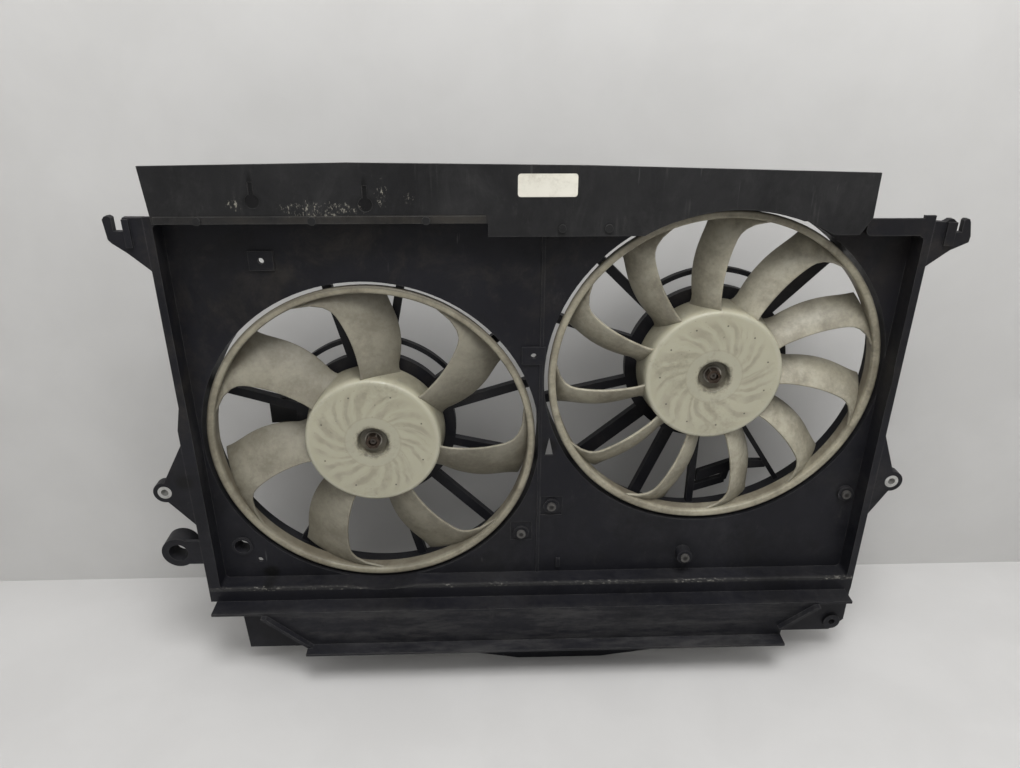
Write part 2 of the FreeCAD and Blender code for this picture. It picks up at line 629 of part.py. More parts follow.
def fan(side):
    """One fan: cupped hub, swept blades lofted through five sections, and the ring round them."""
    x, z, arms = FANS[side]
    body = new_body(side + "_fan", x, D.tray_depth, z, TURN[side])
    bore = D.shaft + D.fit
    wall = D.hub_wall
    floor = D.dish_depth
    turned(body, side + "_hub", [
        (bore, floor), (D.dish_round - 2, floor), (D.dish_round, 0), (D.hub_front, 0), (D.hub_back, D.hub_depth),
        (D.hub_back - wall, D.hub_depth), (D.hub_front - wall, wall), (D.dish_round + wall, wall),
        (D.dish_round + wall - 1, floor + wall), (D.boss_outer, floor + wall), (D.boss_outer, D.boss_depth),
        (bore, D.boss_depth)])
    round_edges(body, D.hub_edge, lambda edge: is_circle(edge, D.hub_front.value, 0))
    sections = [blade_section(body, "%s_blade_%d" % (side, n), side, share)
                for n, share in enumerate(BLADE_SHARES)]
    blade = body.newObject("PartDesign::AdditiveLoft", side + "_blade")
    blade.Profile = sections[0]
    blade.Sections = sections[1:]
    around(body, [blade], BLADES[side])
    turned(body, side + "_hub_cavity", [
        (D.hub_front - 12, wall), (D.hub_front - wall, wall), (D.hub_back - wall, D.hub_depth),
        (D.hub_back - wall, D.hub_depth + 5), (D.hub_front - 12, D.hub_depth + 5)], "Groove")
    seam = D.ring_bore + D.ring_wall / 2
    turned(body, side + "_tip_trim", [
        (seam, -5), (seam + 30, -5), (seam + 30, D.ring_depth + 5), (seam, D.ring_depth + 5)], "Groove")
    outer = D.ring_bore + D.ring_wall
    turned(body, side + "_ring", [
        (D.ring_bore, 1.5), (D.ring_bore + 1.5, 0), (D.ring_outer - 1.5, 0), (D.ring_outer, 1.5),
        (D.ring_outer, D.ring_lip), (outer + 2, D.ring_lip), (outer, D.ring_lip + 2), (outer, D.ring_depth),
        (D.ring_bore, D.ring_depth)])
    half = D.hub_rib_thick / 2
    rib = pad(body, front(body, side + "_hub_rib", wall / 2).box(
        D.dish_round + wall - 1.2, -half, D.hub_front - wall / 2, half), D.hub_rib_depth)
    around(body, [rib], D.hub_rib_count)
    return [rough(body)]


def is_circle(edge, radius, depth):
    """Whether an edge is a full circle about Y of a radius, lying at a depth."""
    curve = edge.Curve
    if not hasattr(curve, "Radius") or not edge.Closed:
        return False
    return abs(curve.Radius - radius) < 0.01 and abs(curve.Center.y - depth) < 0.01


CASE_BACK = D.case_front + D.case_length
COVER_FRONT = D.case_front - D.cover_wall
NOSE_FRONT = D.tray_depth + D.boss_depth + 1.5
BEARING_FRONT = NOSE_FRONT + 1.5
BEARING_SEAT = D.bearing_outer + D.fit
MAGNET_INNER = D.case_outer - D.case_wall - D.magnet_thick
STACK_OUTER = MAGNET_INNER - D.air_gap
STACK_FRONT = D.case_front + 20
MAGNET_FRONT = STACK_FRONT + D.stack_length / 2 - D.magnet_length / 2


def motor_body(side, name):
    x, z, arms = FANS[side]
    return new_body("%s_%s" % (side, name), x, 0, z)


def motor_case(side):
    """The drawn steel cup with the rear bearing's nose."""
    body = motor_body(side, "motor_case")
    inner = D.case_outer - D.case_wall
    floor = CASE_BACK - D.case_wall
    nose = D.bearing_outer + D.case_wall + 0.5
    nose_back = floor + D.bearing_length + 2
    turned(body, side + "_case_profile", [
        (D.case_outer, D.case_front), (D.case_outer, CASE_BACK - 2.5), (D.case_outer - 2.5, CASE_BACK),
        (nose + 3, CASE_BACK), (nose, CASE_BACK + 1.5), (nose, nose_back), (0, nose_back),
        (0, nose_back - 1.5), (BEARING_SEAT, nose_back - 1.5), (BEARING_SEAT, floor), (inner, floor),
        (inner, D.case_front)])
    return [body]


def end_cover(side):
    """The front cover that slips over the case and carries three lugs."""
    body = motor_body(side, "end_cover")
    nose = D.bearing_outer + D.case_wall + 0.6
    skirt = D.case_outer + D.fit
    lug_front = D.arm_front - D.lug_thick
    turned(body, side + "_cover_profile", [
        (D.shaft + 0.6, NOSE_FRONT), (nose, NOSE_FRONT), (nose, COVER_FRONT), (skirt + D.cover_wall, COVER_FRONT),
        (skirt + D.cover_wall, lug_front), (skirt + 6, lug_front), (skirt + 6, D.arm_front),
        (skirt, D.arm_front), (skirt, D.case_front), (nose, D.case_front), (nose, D.case_front + 2),
        (BEARING_SEAT, D.case_front + 2), (BEARING_SEAT, BEARING_FRONT), (D.shaft + 0.6, BEARING_FRONT)])
    webs = front(body, side + "_lug_webs", lug_front)
    lugs = front(body, side + "_lugs", lug_front)
    holes = front(body, side + "_lug_holes", lug_front - 1)
    count = D.lug_count.value
    for n in range(int(count)):
        bearing = LUG_BEARING + 360 * n / count
        inner, outer = skirt + 2, D.lug_circle
        webs.corners([ray(0, 0, inner, bearing, -7), ray(0, 0, outer, bearing, -7),
                      ray(0, 0, outer, bearing, 7), ray(0, 0, inner, bearing, 7)])
        lugs.circle(*ray(0, 0, D.lug_circle, bearing), D.lug_round)
        holes.circle(*ray(0, 0, D.lug_circle, bearing), D.screw_hole)
    pad(body, webs, D.lug_thick)
    pad(body, lugs, D.lug_thick)
    pocket(body, holes, D.lug_thick + 2)
    return [body]


def motor_screws(side):
    """Three screws that hold the cover's lugs on the carrier ring."""
    body = motor_body(side, "motor_screws")
    seat = D.arm_front - D.lug_thick
    heads = front(body, side + "_screw_heads", seat - D.screw_head_thick)
    shanks = front(body, side + "_screw_shanks", seat - 0.5)
    count = D.lug_count.value
    for n in range(int(count)):
        spot = ray(0, 0, D.lug_circle, LUG_BEARING + 360 * n / count)
        heads.circle(*spot, D.screw_head)
        shanks.circle(*spot, D.screw_shank)
    pad(body, heads, D.screw_head_thick)
    pad(body, shanks, D.screw_length)
    return [body]


def sleeve(body, name, inner, outer, start, length):
    """A plain tube along Y."""
    turned(body, name, [(inner, start), (outer, start), (outer, start + length), (inner, start + length)])


def bearings(side):
    """The sintered bearings at the two ends of the shaft."""
    pieces = []
    rear = CASE_BACK - D.case_wall + 0.3
    for end, start in (("front", BEARING_FRONT + 0.1), ("rear", rear)):
        body = motor_body(side, end + "_bearing")
        sleeve(body, "%s_%s_sleeve" % (side, end), D.shaft + D.shaft_gap, D.bearing_outer, start, D.bearing_length)
        pieces.append(body)
    return pieces


def magnets(side):
    """Two ferrite arcs against the inside of the case."""
    body = motor_body(side, "magnets")
    half = D.magnet_arc.value / 2
    arcs = front(body, side + "_magnet_arcs", MAGNET_FRONT)
    for centre in (0, 180):
        arcs.sector(0, 0, MAGNET_INNER, D.case_outer - D.case_wall - D.fit, centre - half, centre + half)
    pad(body, arcs, D.magnet_length)
    return [body]


def brush_card(side):
    """The moulded card with two brush holders, and the brushes in them."""
    card = motor_body(side, "brush_card")
    hole = D.commutator + 1.5
    sleeve(card, side + "_card_disc", hole, D.case_outer - D.case_wall - 0.3, D.case_front + 2.3, D.card_thick)
    back = D.case_front + 2.3 + D.card_thick
    holders = front(card, side + "_holders", back - 0.5)
    slots = front(card, side + "_holder_slots", back + 1)
    brushes = motor_body(side, "brushes")
    blocks = front(brushes, side + "_brush_blocks", back + 1.05)
    high = D.brush_high / 2
    for way in (1, -1):
        near, far = hole + 0.5, hole + 20
        holders.box(way * near, -high - 2, way * far, high + 2)
        slots.box(way * (near - 1), -high - D.fit, way * (far - 2), high + D.fit)
        blocks.box(way * (D.commutator + 0.1), -high, way * (near + D.brush_long), high)
    pad(card, holders, D.brush_wide + 2)
    pocket(card, slots, D.brush_wide + 2)
    pad(brushes, blocks, D.brush_wide)
    return [card, brushes]


def rotor(side):
    """The shaft with its lamination stack, winding and commutator."""
    shaft = motor_body(side, "motor_shaft")
    tail = CASE_BACK - D.case_wall + D.bearing_length + 0.2
    turned(shaft, side + "_shaft_profile", [
        (0, D.tray_depth + D.shaft_end), (D.shaft - 0.8, D.tray_depth + D.shaft_end),
        (D.shaft, D.tray_depth + D.shaft_end + 0.8), (D.shaft, tail - 0.5), (D.shaft - 0.5, tail), (0, tail)])
    stack = motor_body(side, "armature_core")
    bore = D.shaft + D.fit
    sleeve(stack, side + "_stack", bore, STACK_OUTER, STACK_FRONT, D.stack_length)
    slot_centre = STACK_OUTER - D.slot_round - 3
    slot = pocket(stack, front(stack, side + "_slot", STACK_FRONT - 1).circle(0, slot_centre, D.slot_round),
                  D.stack_length + 2)
    half = D.slot_mouth / 2
    mouth = pocket(stack, front(stack, side + "_slot_mouth", STACK_FRONT - 1).box(
        -half, slot_centre, half, STACK_OUTER + 1), D.stack_length + 2)
    around(stack, [slot, mouth], D.stack_teeth)
    coil = motor_body(side, "winding")
    inner, outer = D.commutator - 2, STACK_OUTER - 3
    end = STACK_FRONT + D.stack_length
    over = D.winding_overhang
    turned(coil, side + "_coil_front", [
        (inner, STACK_FRONT - over), (outer - 4, STACK_FRONT - over), (outer, STACK_FRONT - over / 2),
        (outer, STACK_FRONT - 0.3), (inner, STACK_FRONT - 0.3)])
    bar = pad(coil, front(coil, side + "_coil_bar", STACK_FRONT - 1).circle(0, slot_centre, D.slot_round - 0.3),
              D.stack_length + 2)
    around(coil, [bar], D.stack_teeth)
    turned(coil, side + "_coil_back", [
        (inner, end + 0.3), (outer, end + 0.3), (outer, end + over / 2), (outer - 4, end + over), (inner, end + over)])
    copper = motor_body(side, "commutator")
    start = D.case_front + 4
    sleeve(copper, side + "_segments", bore, D.commutator, start, STACK_FRONT - over - 0.2 - start)
    return [shaft, stack, coil, copper]


def fan_nut(side):
    """The flanged nut that clamps the fan on its shaft."""
    body = motor_body(side, "fan_nut")
    seat = D.tray_depth + D.dish_depth
    bore = D.shaft + D.fit
    pad(body, front(body, side + "_washer", seat - D.washer_thick).circle(0, 0, D.washer).circle(0, 0, bore),
        D.washer_thick)
    across = D.nut_flats / (2 * cosine(30))
    hexagon = front(body, side + "_nut", seat - D.washer_thick - D.nut_thick)
    hexagon.corners([(across * cosine(60 * n), across * sine(60 * n)) for n in range(6)]).circle(0, 0, bore)
    pad(body, hexagon, D.nut_thick)
    return [body]


def motor_inlet(side):
    """The socket for the motor's plug, clipped behind the arms, with its two blades."""
    x, z, arms = FANS[side]
    across, rise = INLET_AT[side]
    start = D.arm_front + D.arm_depth
    body = new_body(side + "_inlet", x + across, start, z + rise)
    wide, high, wall = D.inlet_wide / 2, D.inlet_high / 2, D.inlet_wall
    pad(body, front(body, side + "_inlet_block").box(-wide, -high, wide, high), D.inlet_depth)
    pocket(body, front(body, side + "_inlet_socket", wall * 2).box(wall - wide, wall - high, wide - wall, high - wall),
           D.inlet_depth)
    pins = new_body(side + "_inlet_pins", x + across, start, z + rise)
    blades = front(pins, side + "_pin_blades", wall * 2)
    for way in (1, -1):
        middle = way * D.blade_pin_gap / 2
        blades.box(middle - D.blade_pin_thick / 2, -D.blade_pin_wide / 2,
                   middle + D.blade_pin_thick / 2, D.blade_pin_wide / 2)
    pad(pins, blades, D.inlet_depth - wall * 4)
    return [body, pins]


INLET_AT = {"left": (-90, 14), "right": (15, -66)}


def bushings():
    """The steel sleeves that the two side bolts clamp."""
    pieces = []
    for side, way in (("left", -1), ("right", 1)):
        body = new_body(side + "_bushing", way * BOLT_SPAN, 0, 0)
        sleeve(body, side + "_bushing_wall", D.bush_hole, D.bush_outer, 0, D.ear_thick)
        pieces.append(body)
    return pieces


def flap():
    """The thin air guide across the top, with its fold, arch and two keyhole marks."""
    body = new_body("air_flap")
    back = -D.flap_thick
    x, z, arms = FANS["right"]
    pad(body, front(body, "flap_outline", back).corners([
        (-D.flap_left, D.tray_top), (-D.flap_notch, D.tray_top), (-D.flap_notch, D.flap_low_right),
        (D.flap_right - 9, D.flap_low_right), (D.flap_right, D.flap_low_right + 15),
        (D.flap_right, D.flap_high - 6.5), (42, D.flap_high), (-158, D.flap_high + D.flap_bow),
        (-D.flap_left - 4, D.flap_high)]), D.flap_thick)
    pad(body, front(body, "flap_fold", back - D.fold_rise).box(
        -D.flap_left + 2, D.tray_top + 0.5, -D.flap_notch - 2, D.rim_left_top + 0.5), D.fold_rise + 0.4)
    pocket(body, front(body, "flap_arch", back - 1).circle(x, z, OPENING + 1), D.flap_thick + 2)
    marks = front(body, "keyholes", back - 1)
    slots = front(body, "keyhole_slots", back - 1)
    for across, rise in KEYHOLES:
        marks.circle(across, rise, D.keyhole)
        slots.box(across - 2, rise + 2, across + 2, rise + D.keyhole * 2.6)
    pocket(body, marks, 1 + D.keyhole_depth)
    pocket(body, slots, 1 + D.keyhole_depth)
    return [body]


KEYHOLES = ((-238, 281.5), (-145, 278.5))
FOLD_CLIPS = ((-285, 265.5), (-190, 265.5), (-95, 265.5))
EDGE_CLIPS = ((20, 258), (60, 258))


def flap_clips():
    """Push clips that pin the flap on the tray's rim, three on its fold and two on its flat edge."""
    body = new_body("flap_clips")
    for name, clips, proud in (("fold", FOLD_CLIPS, D.fold_rise), ("edge", EDGE_CLIPS, size(0))):
        heads = front(body, name + "_clip_heads", -(D.flap_thick + proud + D.clip_head_thick))
        for across, rise in clips:
            heads.circle(across, rise, D.clip_head / 2)
        pad(body, heads, D.clip_head_thick)
    return [body]


def label():
    """A blank sticker on the flap."""
    body = new_body("label", 7, -D.flap_thick, 294)
    wide, high = D.label_wide / 2, D.label_high / 2
    pad(body, front(body, "label_outline", -D.label_thick).box(-wide, -high, wide, high), D.label_thick)
    depth = D.label_thick.value
    round_edges(body, D.label_round, lambda edge: is_corner(edge, depth))
    return [body]


def both(build):
    """A builder that makes a piece for the left fan and one for the right."""
    return lambda: [piece for side in FANS for piece in build(side)]


BUILDERS = [shroud, side_fittings, boss_screws, flap, flap_clips, label, bushings]
BUILDERS += [both(build) for build in (spider, fan, fan_nut, rotor, motor_case, end_cover, motor_screws, bearings,
                                       magnets, brush_card, motor_inlet)]


def main():
    pieces = [piece for build in BUILDERS for piece in build()]
    doc.recompute()
    for item in doc.Objects:
        if "Invalid" in item.State or "Error" in item.State:
            raise RuntimeError("%s failed" % item.Label)
    for piece in pieces:
        if piece.Shape.isNull() or not piece.Shape.isValid():
            raise RuntimeError("%s has no sound solid" % piece.Label)
    os.makedirs("parts", exist_ok=True)
    for piece in pieces:
        piece.Shape.exportStep("parts/%s.step" % piece.Label)
        print("%-24s solids %d  volume %.0f" % (piece.Label, len(piece.Shape.Solids), piece.Shape.Volume))


main()
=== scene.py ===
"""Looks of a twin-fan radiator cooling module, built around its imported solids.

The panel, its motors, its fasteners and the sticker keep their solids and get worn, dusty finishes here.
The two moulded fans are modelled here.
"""
import logging
import math
from dataclasses import dataclass, field
from enum import Enum
from typing import Callable, Iterable, Sequence

import bmesh
import bpy
from mathutils import Matrix, Vector


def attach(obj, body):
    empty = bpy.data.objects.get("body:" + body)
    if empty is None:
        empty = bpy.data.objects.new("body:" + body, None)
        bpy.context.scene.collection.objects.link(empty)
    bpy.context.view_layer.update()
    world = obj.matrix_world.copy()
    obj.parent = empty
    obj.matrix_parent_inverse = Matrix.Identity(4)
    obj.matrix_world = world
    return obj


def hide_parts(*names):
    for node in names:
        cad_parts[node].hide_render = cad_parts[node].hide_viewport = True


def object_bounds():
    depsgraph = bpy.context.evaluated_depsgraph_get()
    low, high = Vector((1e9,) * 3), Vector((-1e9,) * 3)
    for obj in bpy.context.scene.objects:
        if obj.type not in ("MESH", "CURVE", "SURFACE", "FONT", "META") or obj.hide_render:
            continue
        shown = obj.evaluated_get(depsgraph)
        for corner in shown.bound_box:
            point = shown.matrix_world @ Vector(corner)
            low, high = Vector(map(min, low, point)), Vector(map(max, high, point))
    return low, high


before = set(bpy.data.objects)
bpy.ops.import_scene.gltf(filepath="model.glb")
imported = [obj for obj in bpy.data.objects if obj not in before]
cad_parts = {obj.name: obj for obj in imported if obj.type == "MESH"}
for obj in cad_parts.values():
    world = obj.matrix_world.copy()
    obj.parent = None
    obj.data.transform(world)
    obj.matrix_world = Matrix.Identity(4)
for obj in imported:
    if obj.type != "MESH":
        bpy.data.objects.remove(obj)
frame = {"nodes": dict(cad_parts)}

logging.basicConfig(level=logging.INFO, format="%(levelname)s %(message)s")
LOG = logging.getLogger("cooling_module")
CAD_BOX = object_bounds()

Colour = tuple[float, float, float]
Socket = bpy.types.NodeSocket
Spot = tuple[float, float]
Band = tuple[float, float, float, float]
MM = 0.001
SHARP_TURN = math.radians(35.0)


class Side(Enum):
    """The two fans, as seen from the radiator side. The value is the way their blades lean."""

    LEFT = 1
    RIGHT = -1

    @property
    def word(self) -> str:
        """The word that starts the names of this side's pieces."""
        return self.name.lower()


class Graph:
    """Short calls that add and join the nodes of one material or group."""

    def __init__(self, tree: bpy.types.NodeTree) -> None:
        """Take over a node tree.

        Args:
            tree: the tree of a material or of a shader group.
        """
        self.tree = tree
        self.place: Socket | None = None
        self.colour: Socket | None = None

    def add(self, kind: str, inputs: dict | None = None, **settings: object) -> bpy.types.Node:
        """Add a node.

        Args:
            kind: the node's type, without the word ShaderNode in front.
            inputs: sockets or plain values for the node's inputs, by name or index.
            settings: the node's own properties.

        Returns:
            The new node.
        """
        node = self.tree.nodes.new("ShaderNode" + kind)
        for key, value in settings.items():
            setattr(node, key, value)
        for key, value in (inputs or {}).items():
            if isinstance(value, Socket):
                self.tree.links.new(value, node.inputs[key])
            else:
                node.inputs[key].default_value = value
        return node

    def math(self, operation: str, *values: object) -> Socket:
        """Combine one to three numbers.

        Args:
            operation: the name of the Math node's operation.
            values: sockets or plain numbers.

        Returns:
            The result's socket.
        """
        return self.add("Math", dict(enumerate(values)), operation=operation).outputs[0]

    def times(self, first: object, *others: object) -> Socket:
        """Multiply numbers.

        Args:
            first: a socket or a plain number.
            others: what it is multiplied by.

        Returns:
            The product's socket.
        """
        for other in others:
            first = self.math("MULTIPLY", first, other)
        return first

    def span(self, value: object, low: float, high: float, start: float = 0.0, end: float = 1.0) -> Socket:
        """Stretch the range from low to high onto the range from start to end, smoothly and clamped.

        Args:
            value: the number that is stretched.
            low: the value that becomes start.
            high: the value that becomes end.
            start: the lowest result.
            end: the highest result.

        Returns:
            The result's socket.
        """
        node = self.add("MapRange", {0: value, 1: low, 2: high, 3: start, 4: end},
                        interpolation_type="SMOOTHSTEP")
        return node.outputs[0]

    def band(self, value: object, limits: Band) -> Socket:
        """A mask that rises, stays at 1 and falls again.

        Args:
            value: the number that is looked at.
            limits: where the mask starts, is full, is last full and ends.

        Returns:
            The mask's socket.
        """
        start, full, last, end = limits
        return self.times(self.span(value, start, full), self.span(value, end, last))

    def length(self, first: object, second: object) -> Socket:
        """The length of a step of two parts at a right angle.

        Args:
            first: the one part.
            second: the other part.

        Returns:
            The length's socket.
        """
        return self.math("SQRT", self.math("ADD", self.times(first, first), self.times(second, second)))

    def near(self, centre: Spot, reach: Spot, full: float = 0.35) -> Socket:
        """A soft oval patch.

        Args:
            centre: where the patch lies, across and up, in metres.
            reach: its half width and half height, in metres.
            full: the share of the reach within which the mask is 1.

        Returns:
            The socket of a mask, 1 near the centre and 0 from the reach on.
        """
        x, _, z = self.add("SeparateXYZ", {0: self.place}).outputs
        across = self.math("DIVIDE", self.math("SUBTRACT", x, centre[0]), reach[0])
        up = self.math("DIVIDE", self.math("SUBTRACT", z, centre[1]), reach[1])
        return self.span(self.length(across, up), 1.0, full)

    def mix(self, share: object, first: object, second: object) -> Socket:
        """Mix two colours.

        Args:
            share: how much of the second colour is taken.
            first: a colour or its socket.
            second: a colour or its socket.

        Returns:
            The mixed colour's socket.
        """
        colours = [value if isinstance(value, Socket) else (*value, 1.0) for value in (first, second)]
        return self.add("Mix", {0: share, 6: colours[0], 7: colours[1]}, data_type="RGBA").outputs[2]

    def coat(self, tone: object, *shares: object) -> None:
        """Lay a tone over the colour so far.

        Args:
            tone: a colour or its socket.
            shares: sockets and plain numbers whose product is how much the tone covers.
        """
        self.colour = self.mix(self.times(*shares), self.colour, tone)

    def noise(self, scale: object, detail: float = 4.0, rough: float = 0.55, warp: float = 0.0,
              place: Socket | None = None) -> Socket:
        """A noise value from 0 to 1.

        Args:
            scale: features to the metre.
            detail: octaves.
            rough: weight of the finer octaves.
            warp: how far the position is bent by the noise.
            place: the position that it is read at, where that isn't the graph's own.

        Returns:
            The value's socket.
        """
        node = self.add("TexNoise", {"Vector": place or self.place, "Scale": scale, "Detail": detail,
                                     "Roughness": rough, "Distortion": warp})
        return node.outputs[0]

    def effect(self, tree: bpy.types.NodeTree, **numbers: float) -> Socket:
        """Place one of the shared effects.

        Args:
            tree: the effect's tree.
            numbers: its inputs, by name.

        Returns:
            The effect's socket.
        """
        node = self.add("Group", node_tree=tree)
        self.tree.links.new(self.place, node.inputs["Place"])
        for key, value in numbers.items():
            node.inputs[key].default_value = value
        return node.outputs[0]

    def placed(self, shift: Sequence[float] = (0, 0, 0), turn: Sequence[float] = (0, 0, 0),
               scale: Sequence[float] = (1, 1, 1)) -> Socket:
        """The graph's position after it is scaled, turned and shifted.

        Args:
            shift: metres, added last.
            turn: radians about the three axes.
            scale: factors along the three axes.

        Returns:
            The new position's socket.
        """
        node = self.add("Mapping", {"Vector": self.place, "Location": shift, "Rotation": turn,
                                    "Scale": scale})
        return node.outputs[0]


def group_of(name: str, inputs: dict[str, float], fill: Callable[..., Socket]) -> bpy.types.NodeTree:
    """Make a shader group with one output.

    Args:
        name: the group's name.
        inputs: name and default of each number that goes in, beside the place.
        fill: draws the inside from the graph and the numbers' sockets, and returns what is put out.

    Returns:
        The group's tree.
    """
    tree = bpy.data.node_groups.new(name, "ShaderNodeTree")
    tree.interface.new_socket("Place", in_out="INPUT", socket_type="NodeSocketVector")
    for key, default in inputs.items():
        socket = tree.interface.new_socket(key, in_out="INPUT", socket_type="NodeSocketFloat")
        socket.default_value = default
    tree.interface.new_socket("Value", in_out="OUTPUT", socket_type="NodeSocketFloat")
    start = tree.nodes.new("NodeGroupInput")
    end = tree.nodes.new("NodeGroupOutput")
    graph = Graph(tree)
    graph.place, *numbers = start.outputs[:len(inputs) + 1]
    tree.links.new(fill(graph, *numbers), end.inputs[0])
    return tree


class Effects:
    """The effects that several finishes share: dirt, scratches, grain, worn edges that are partly painted
    highlight, and settled dust.
    """

    def __init__(self) -> None:
        """Build each group once."""
        self.dirt = group_of("dirt", {"Scale": 10.0, "Amount": 0.5}, self._dirt)
        self.scratches = group_of("scratches", {"Scale": 20.0, "Width": 0.02, "Amount": 0.5},
                                  self._scratches)
        self.grain = group_of("moulded_grain", {"Scale": 900.0}, self._grain)
        # worn edges: pale along sharp edges, partly rubbed wear and partly painted highlight
        self.edges = group_of("worn_and_highlit_edges", {"Reach": 0.0012, "Amount": 0.5}, self._worn_and_highlit_edges)
        self.dust = group_of("settled_dust", {"Scale": 12.0, "Amount": 0.5}, self._dust)

    @staticmethod
    def _dirt(graph: Graph, scale: Socket, amount: Socket) -> Socket:
        """Cloudy patches broken up by fine specks.

        Args:
            graph: the group's tree.
            scale: clouds to the metre.
            amount: how much is covered.

        Returns:
            The mask's socket.
        """
        clouds = graph.noise(scale, 5.0, 0.6, 0.4)
        specks = graph.noise(graph.times(scale, 9.0), 4.0, 0.7)
        both = graph.math("ADD", graph.times(clouds, 0.7), graph.times(specks, 0.3))
        level = graph.math("SUBTRACT", 1.0, amount)
        shifted = graph.math("SUBTRACT", both, graph.times(level, 0.62))
        return graph.span(shifted, 0.06, 0.34)

    @staticmethod
    def _scratches(graph: Graph, scale: Socket, width: Socket, amount: Socket) -> Socket:
        """Short straight rubs and specks that come in patches.

        Args:
            graph: the group's tree.
            scale: rubs to the metre.
            width: how wide they are.
            amount: how strong they are.

        Returns:
            The mask's socket.
        """
        streaks = []
        for turn, squeeze in (((0.0, 0.12, 0.0), (1.0, 1.0, 0.07)), ((0.0, -1.2, 0.0), (1.0, 1.0, 0.12))):
            laid = graph.placed(turn=turn, scale=squeeze)
            value = graph.noise(graph.times(scale, 12.0), 2.0, 0.5, place=laid)
            level = graph.math("SUBTRACT", value, graph.math("SUBTRACT", 0.78, width))
            streaks.append(graph.times(level, 14.0))
        streak = graph.math("MINIMUM", graph.math("MAXIMUM", graph.math("MAXIMUM", *streaks), 0.0), 1.0)
        patches = graph.span(graph.noise(graph.times(scale, 0.35), 4.0, 0.6), 0.48, 0.66)
        return graph.times(streak, patches, amount)

    @staticmethod
    def _grain(graph: Graph, scale: Socket) -> Socket:
        """The fine pebbled skin of glass-filled plastic.

        Args:
            graph: the group's tree.
            scale: pebbles to the metre.

        Returns:
            The height's socket.
        """
        fine = graph.noise(scale, 3.0, 0.6)
        wide = graph.noise(graph.times(scale, 0.12), 2.0)
        return graph.math("ADD", fine, graph.times(wide, 0.8))

    @staticmethod
    def _worn_and_highlit_edges(graph: Graph, reach: Socket, amount: Socket) -> Socket:
        """Sharp edges made pale in broken stretches: partly rubbed wear, partly painted highlight where
        light would catch them.

        Args:
            graph: the group's tree.
            reach: how far from an edge it shows, in metres.
            amount: how strong it is.

        Returns:
            The mask's socket.
        """
        turned = graph.add("Bevel", {"Radius": reach}, samples=4).outputs[0]
        normal = graph.add("NewGeometry").outputs["Normal"]
        alike = graph.add("VectorMath", {0: turned, 1: normal}, operation="DOT_PRODUCT").outputs["Value"]
        stretches = graph.span(graph.noise(38.0, 6.0, 0.7), 0.34, 0.66, 0.25, 1.0)
        turns = graph.span(alike, 0.995, 0.85)
        return graph.times(turns, stretches, amount)

    @staticmethod
    def _dust(graph: Graph, scale: Socket, amount: Socket) -> Socket:
        """Dust on what faces up, thinner on what stands upright.

        Args:
            graph: the group's tree.
            scale: clouds to the metre.
            amount: how thick it is.

        Returns:
            The mask's socket.
        """
        normal = graph.add("NewGeometry").outputs["Normal"]
        up = graph.add("SeparateXYZ", {0: normal}).outputs[2]
        ledge = graph.span(up, 0.15, 0.9, 0.25, 1.0)
        clouds = graph.noise(scale, 6.0, 0.65, 0.3)
        speckle = graph.noise(graph.times(scale, 14.0), 3.0, 0.7)
        cover = graph.math("ADD", graph.times(clouds, 0.75), graph.times(speckle, 0.35))
        spread = graph.span(cover, 0.38, 0.8)
        return graph.times(spread, ledge, amount)


EFFECTS = Effects()


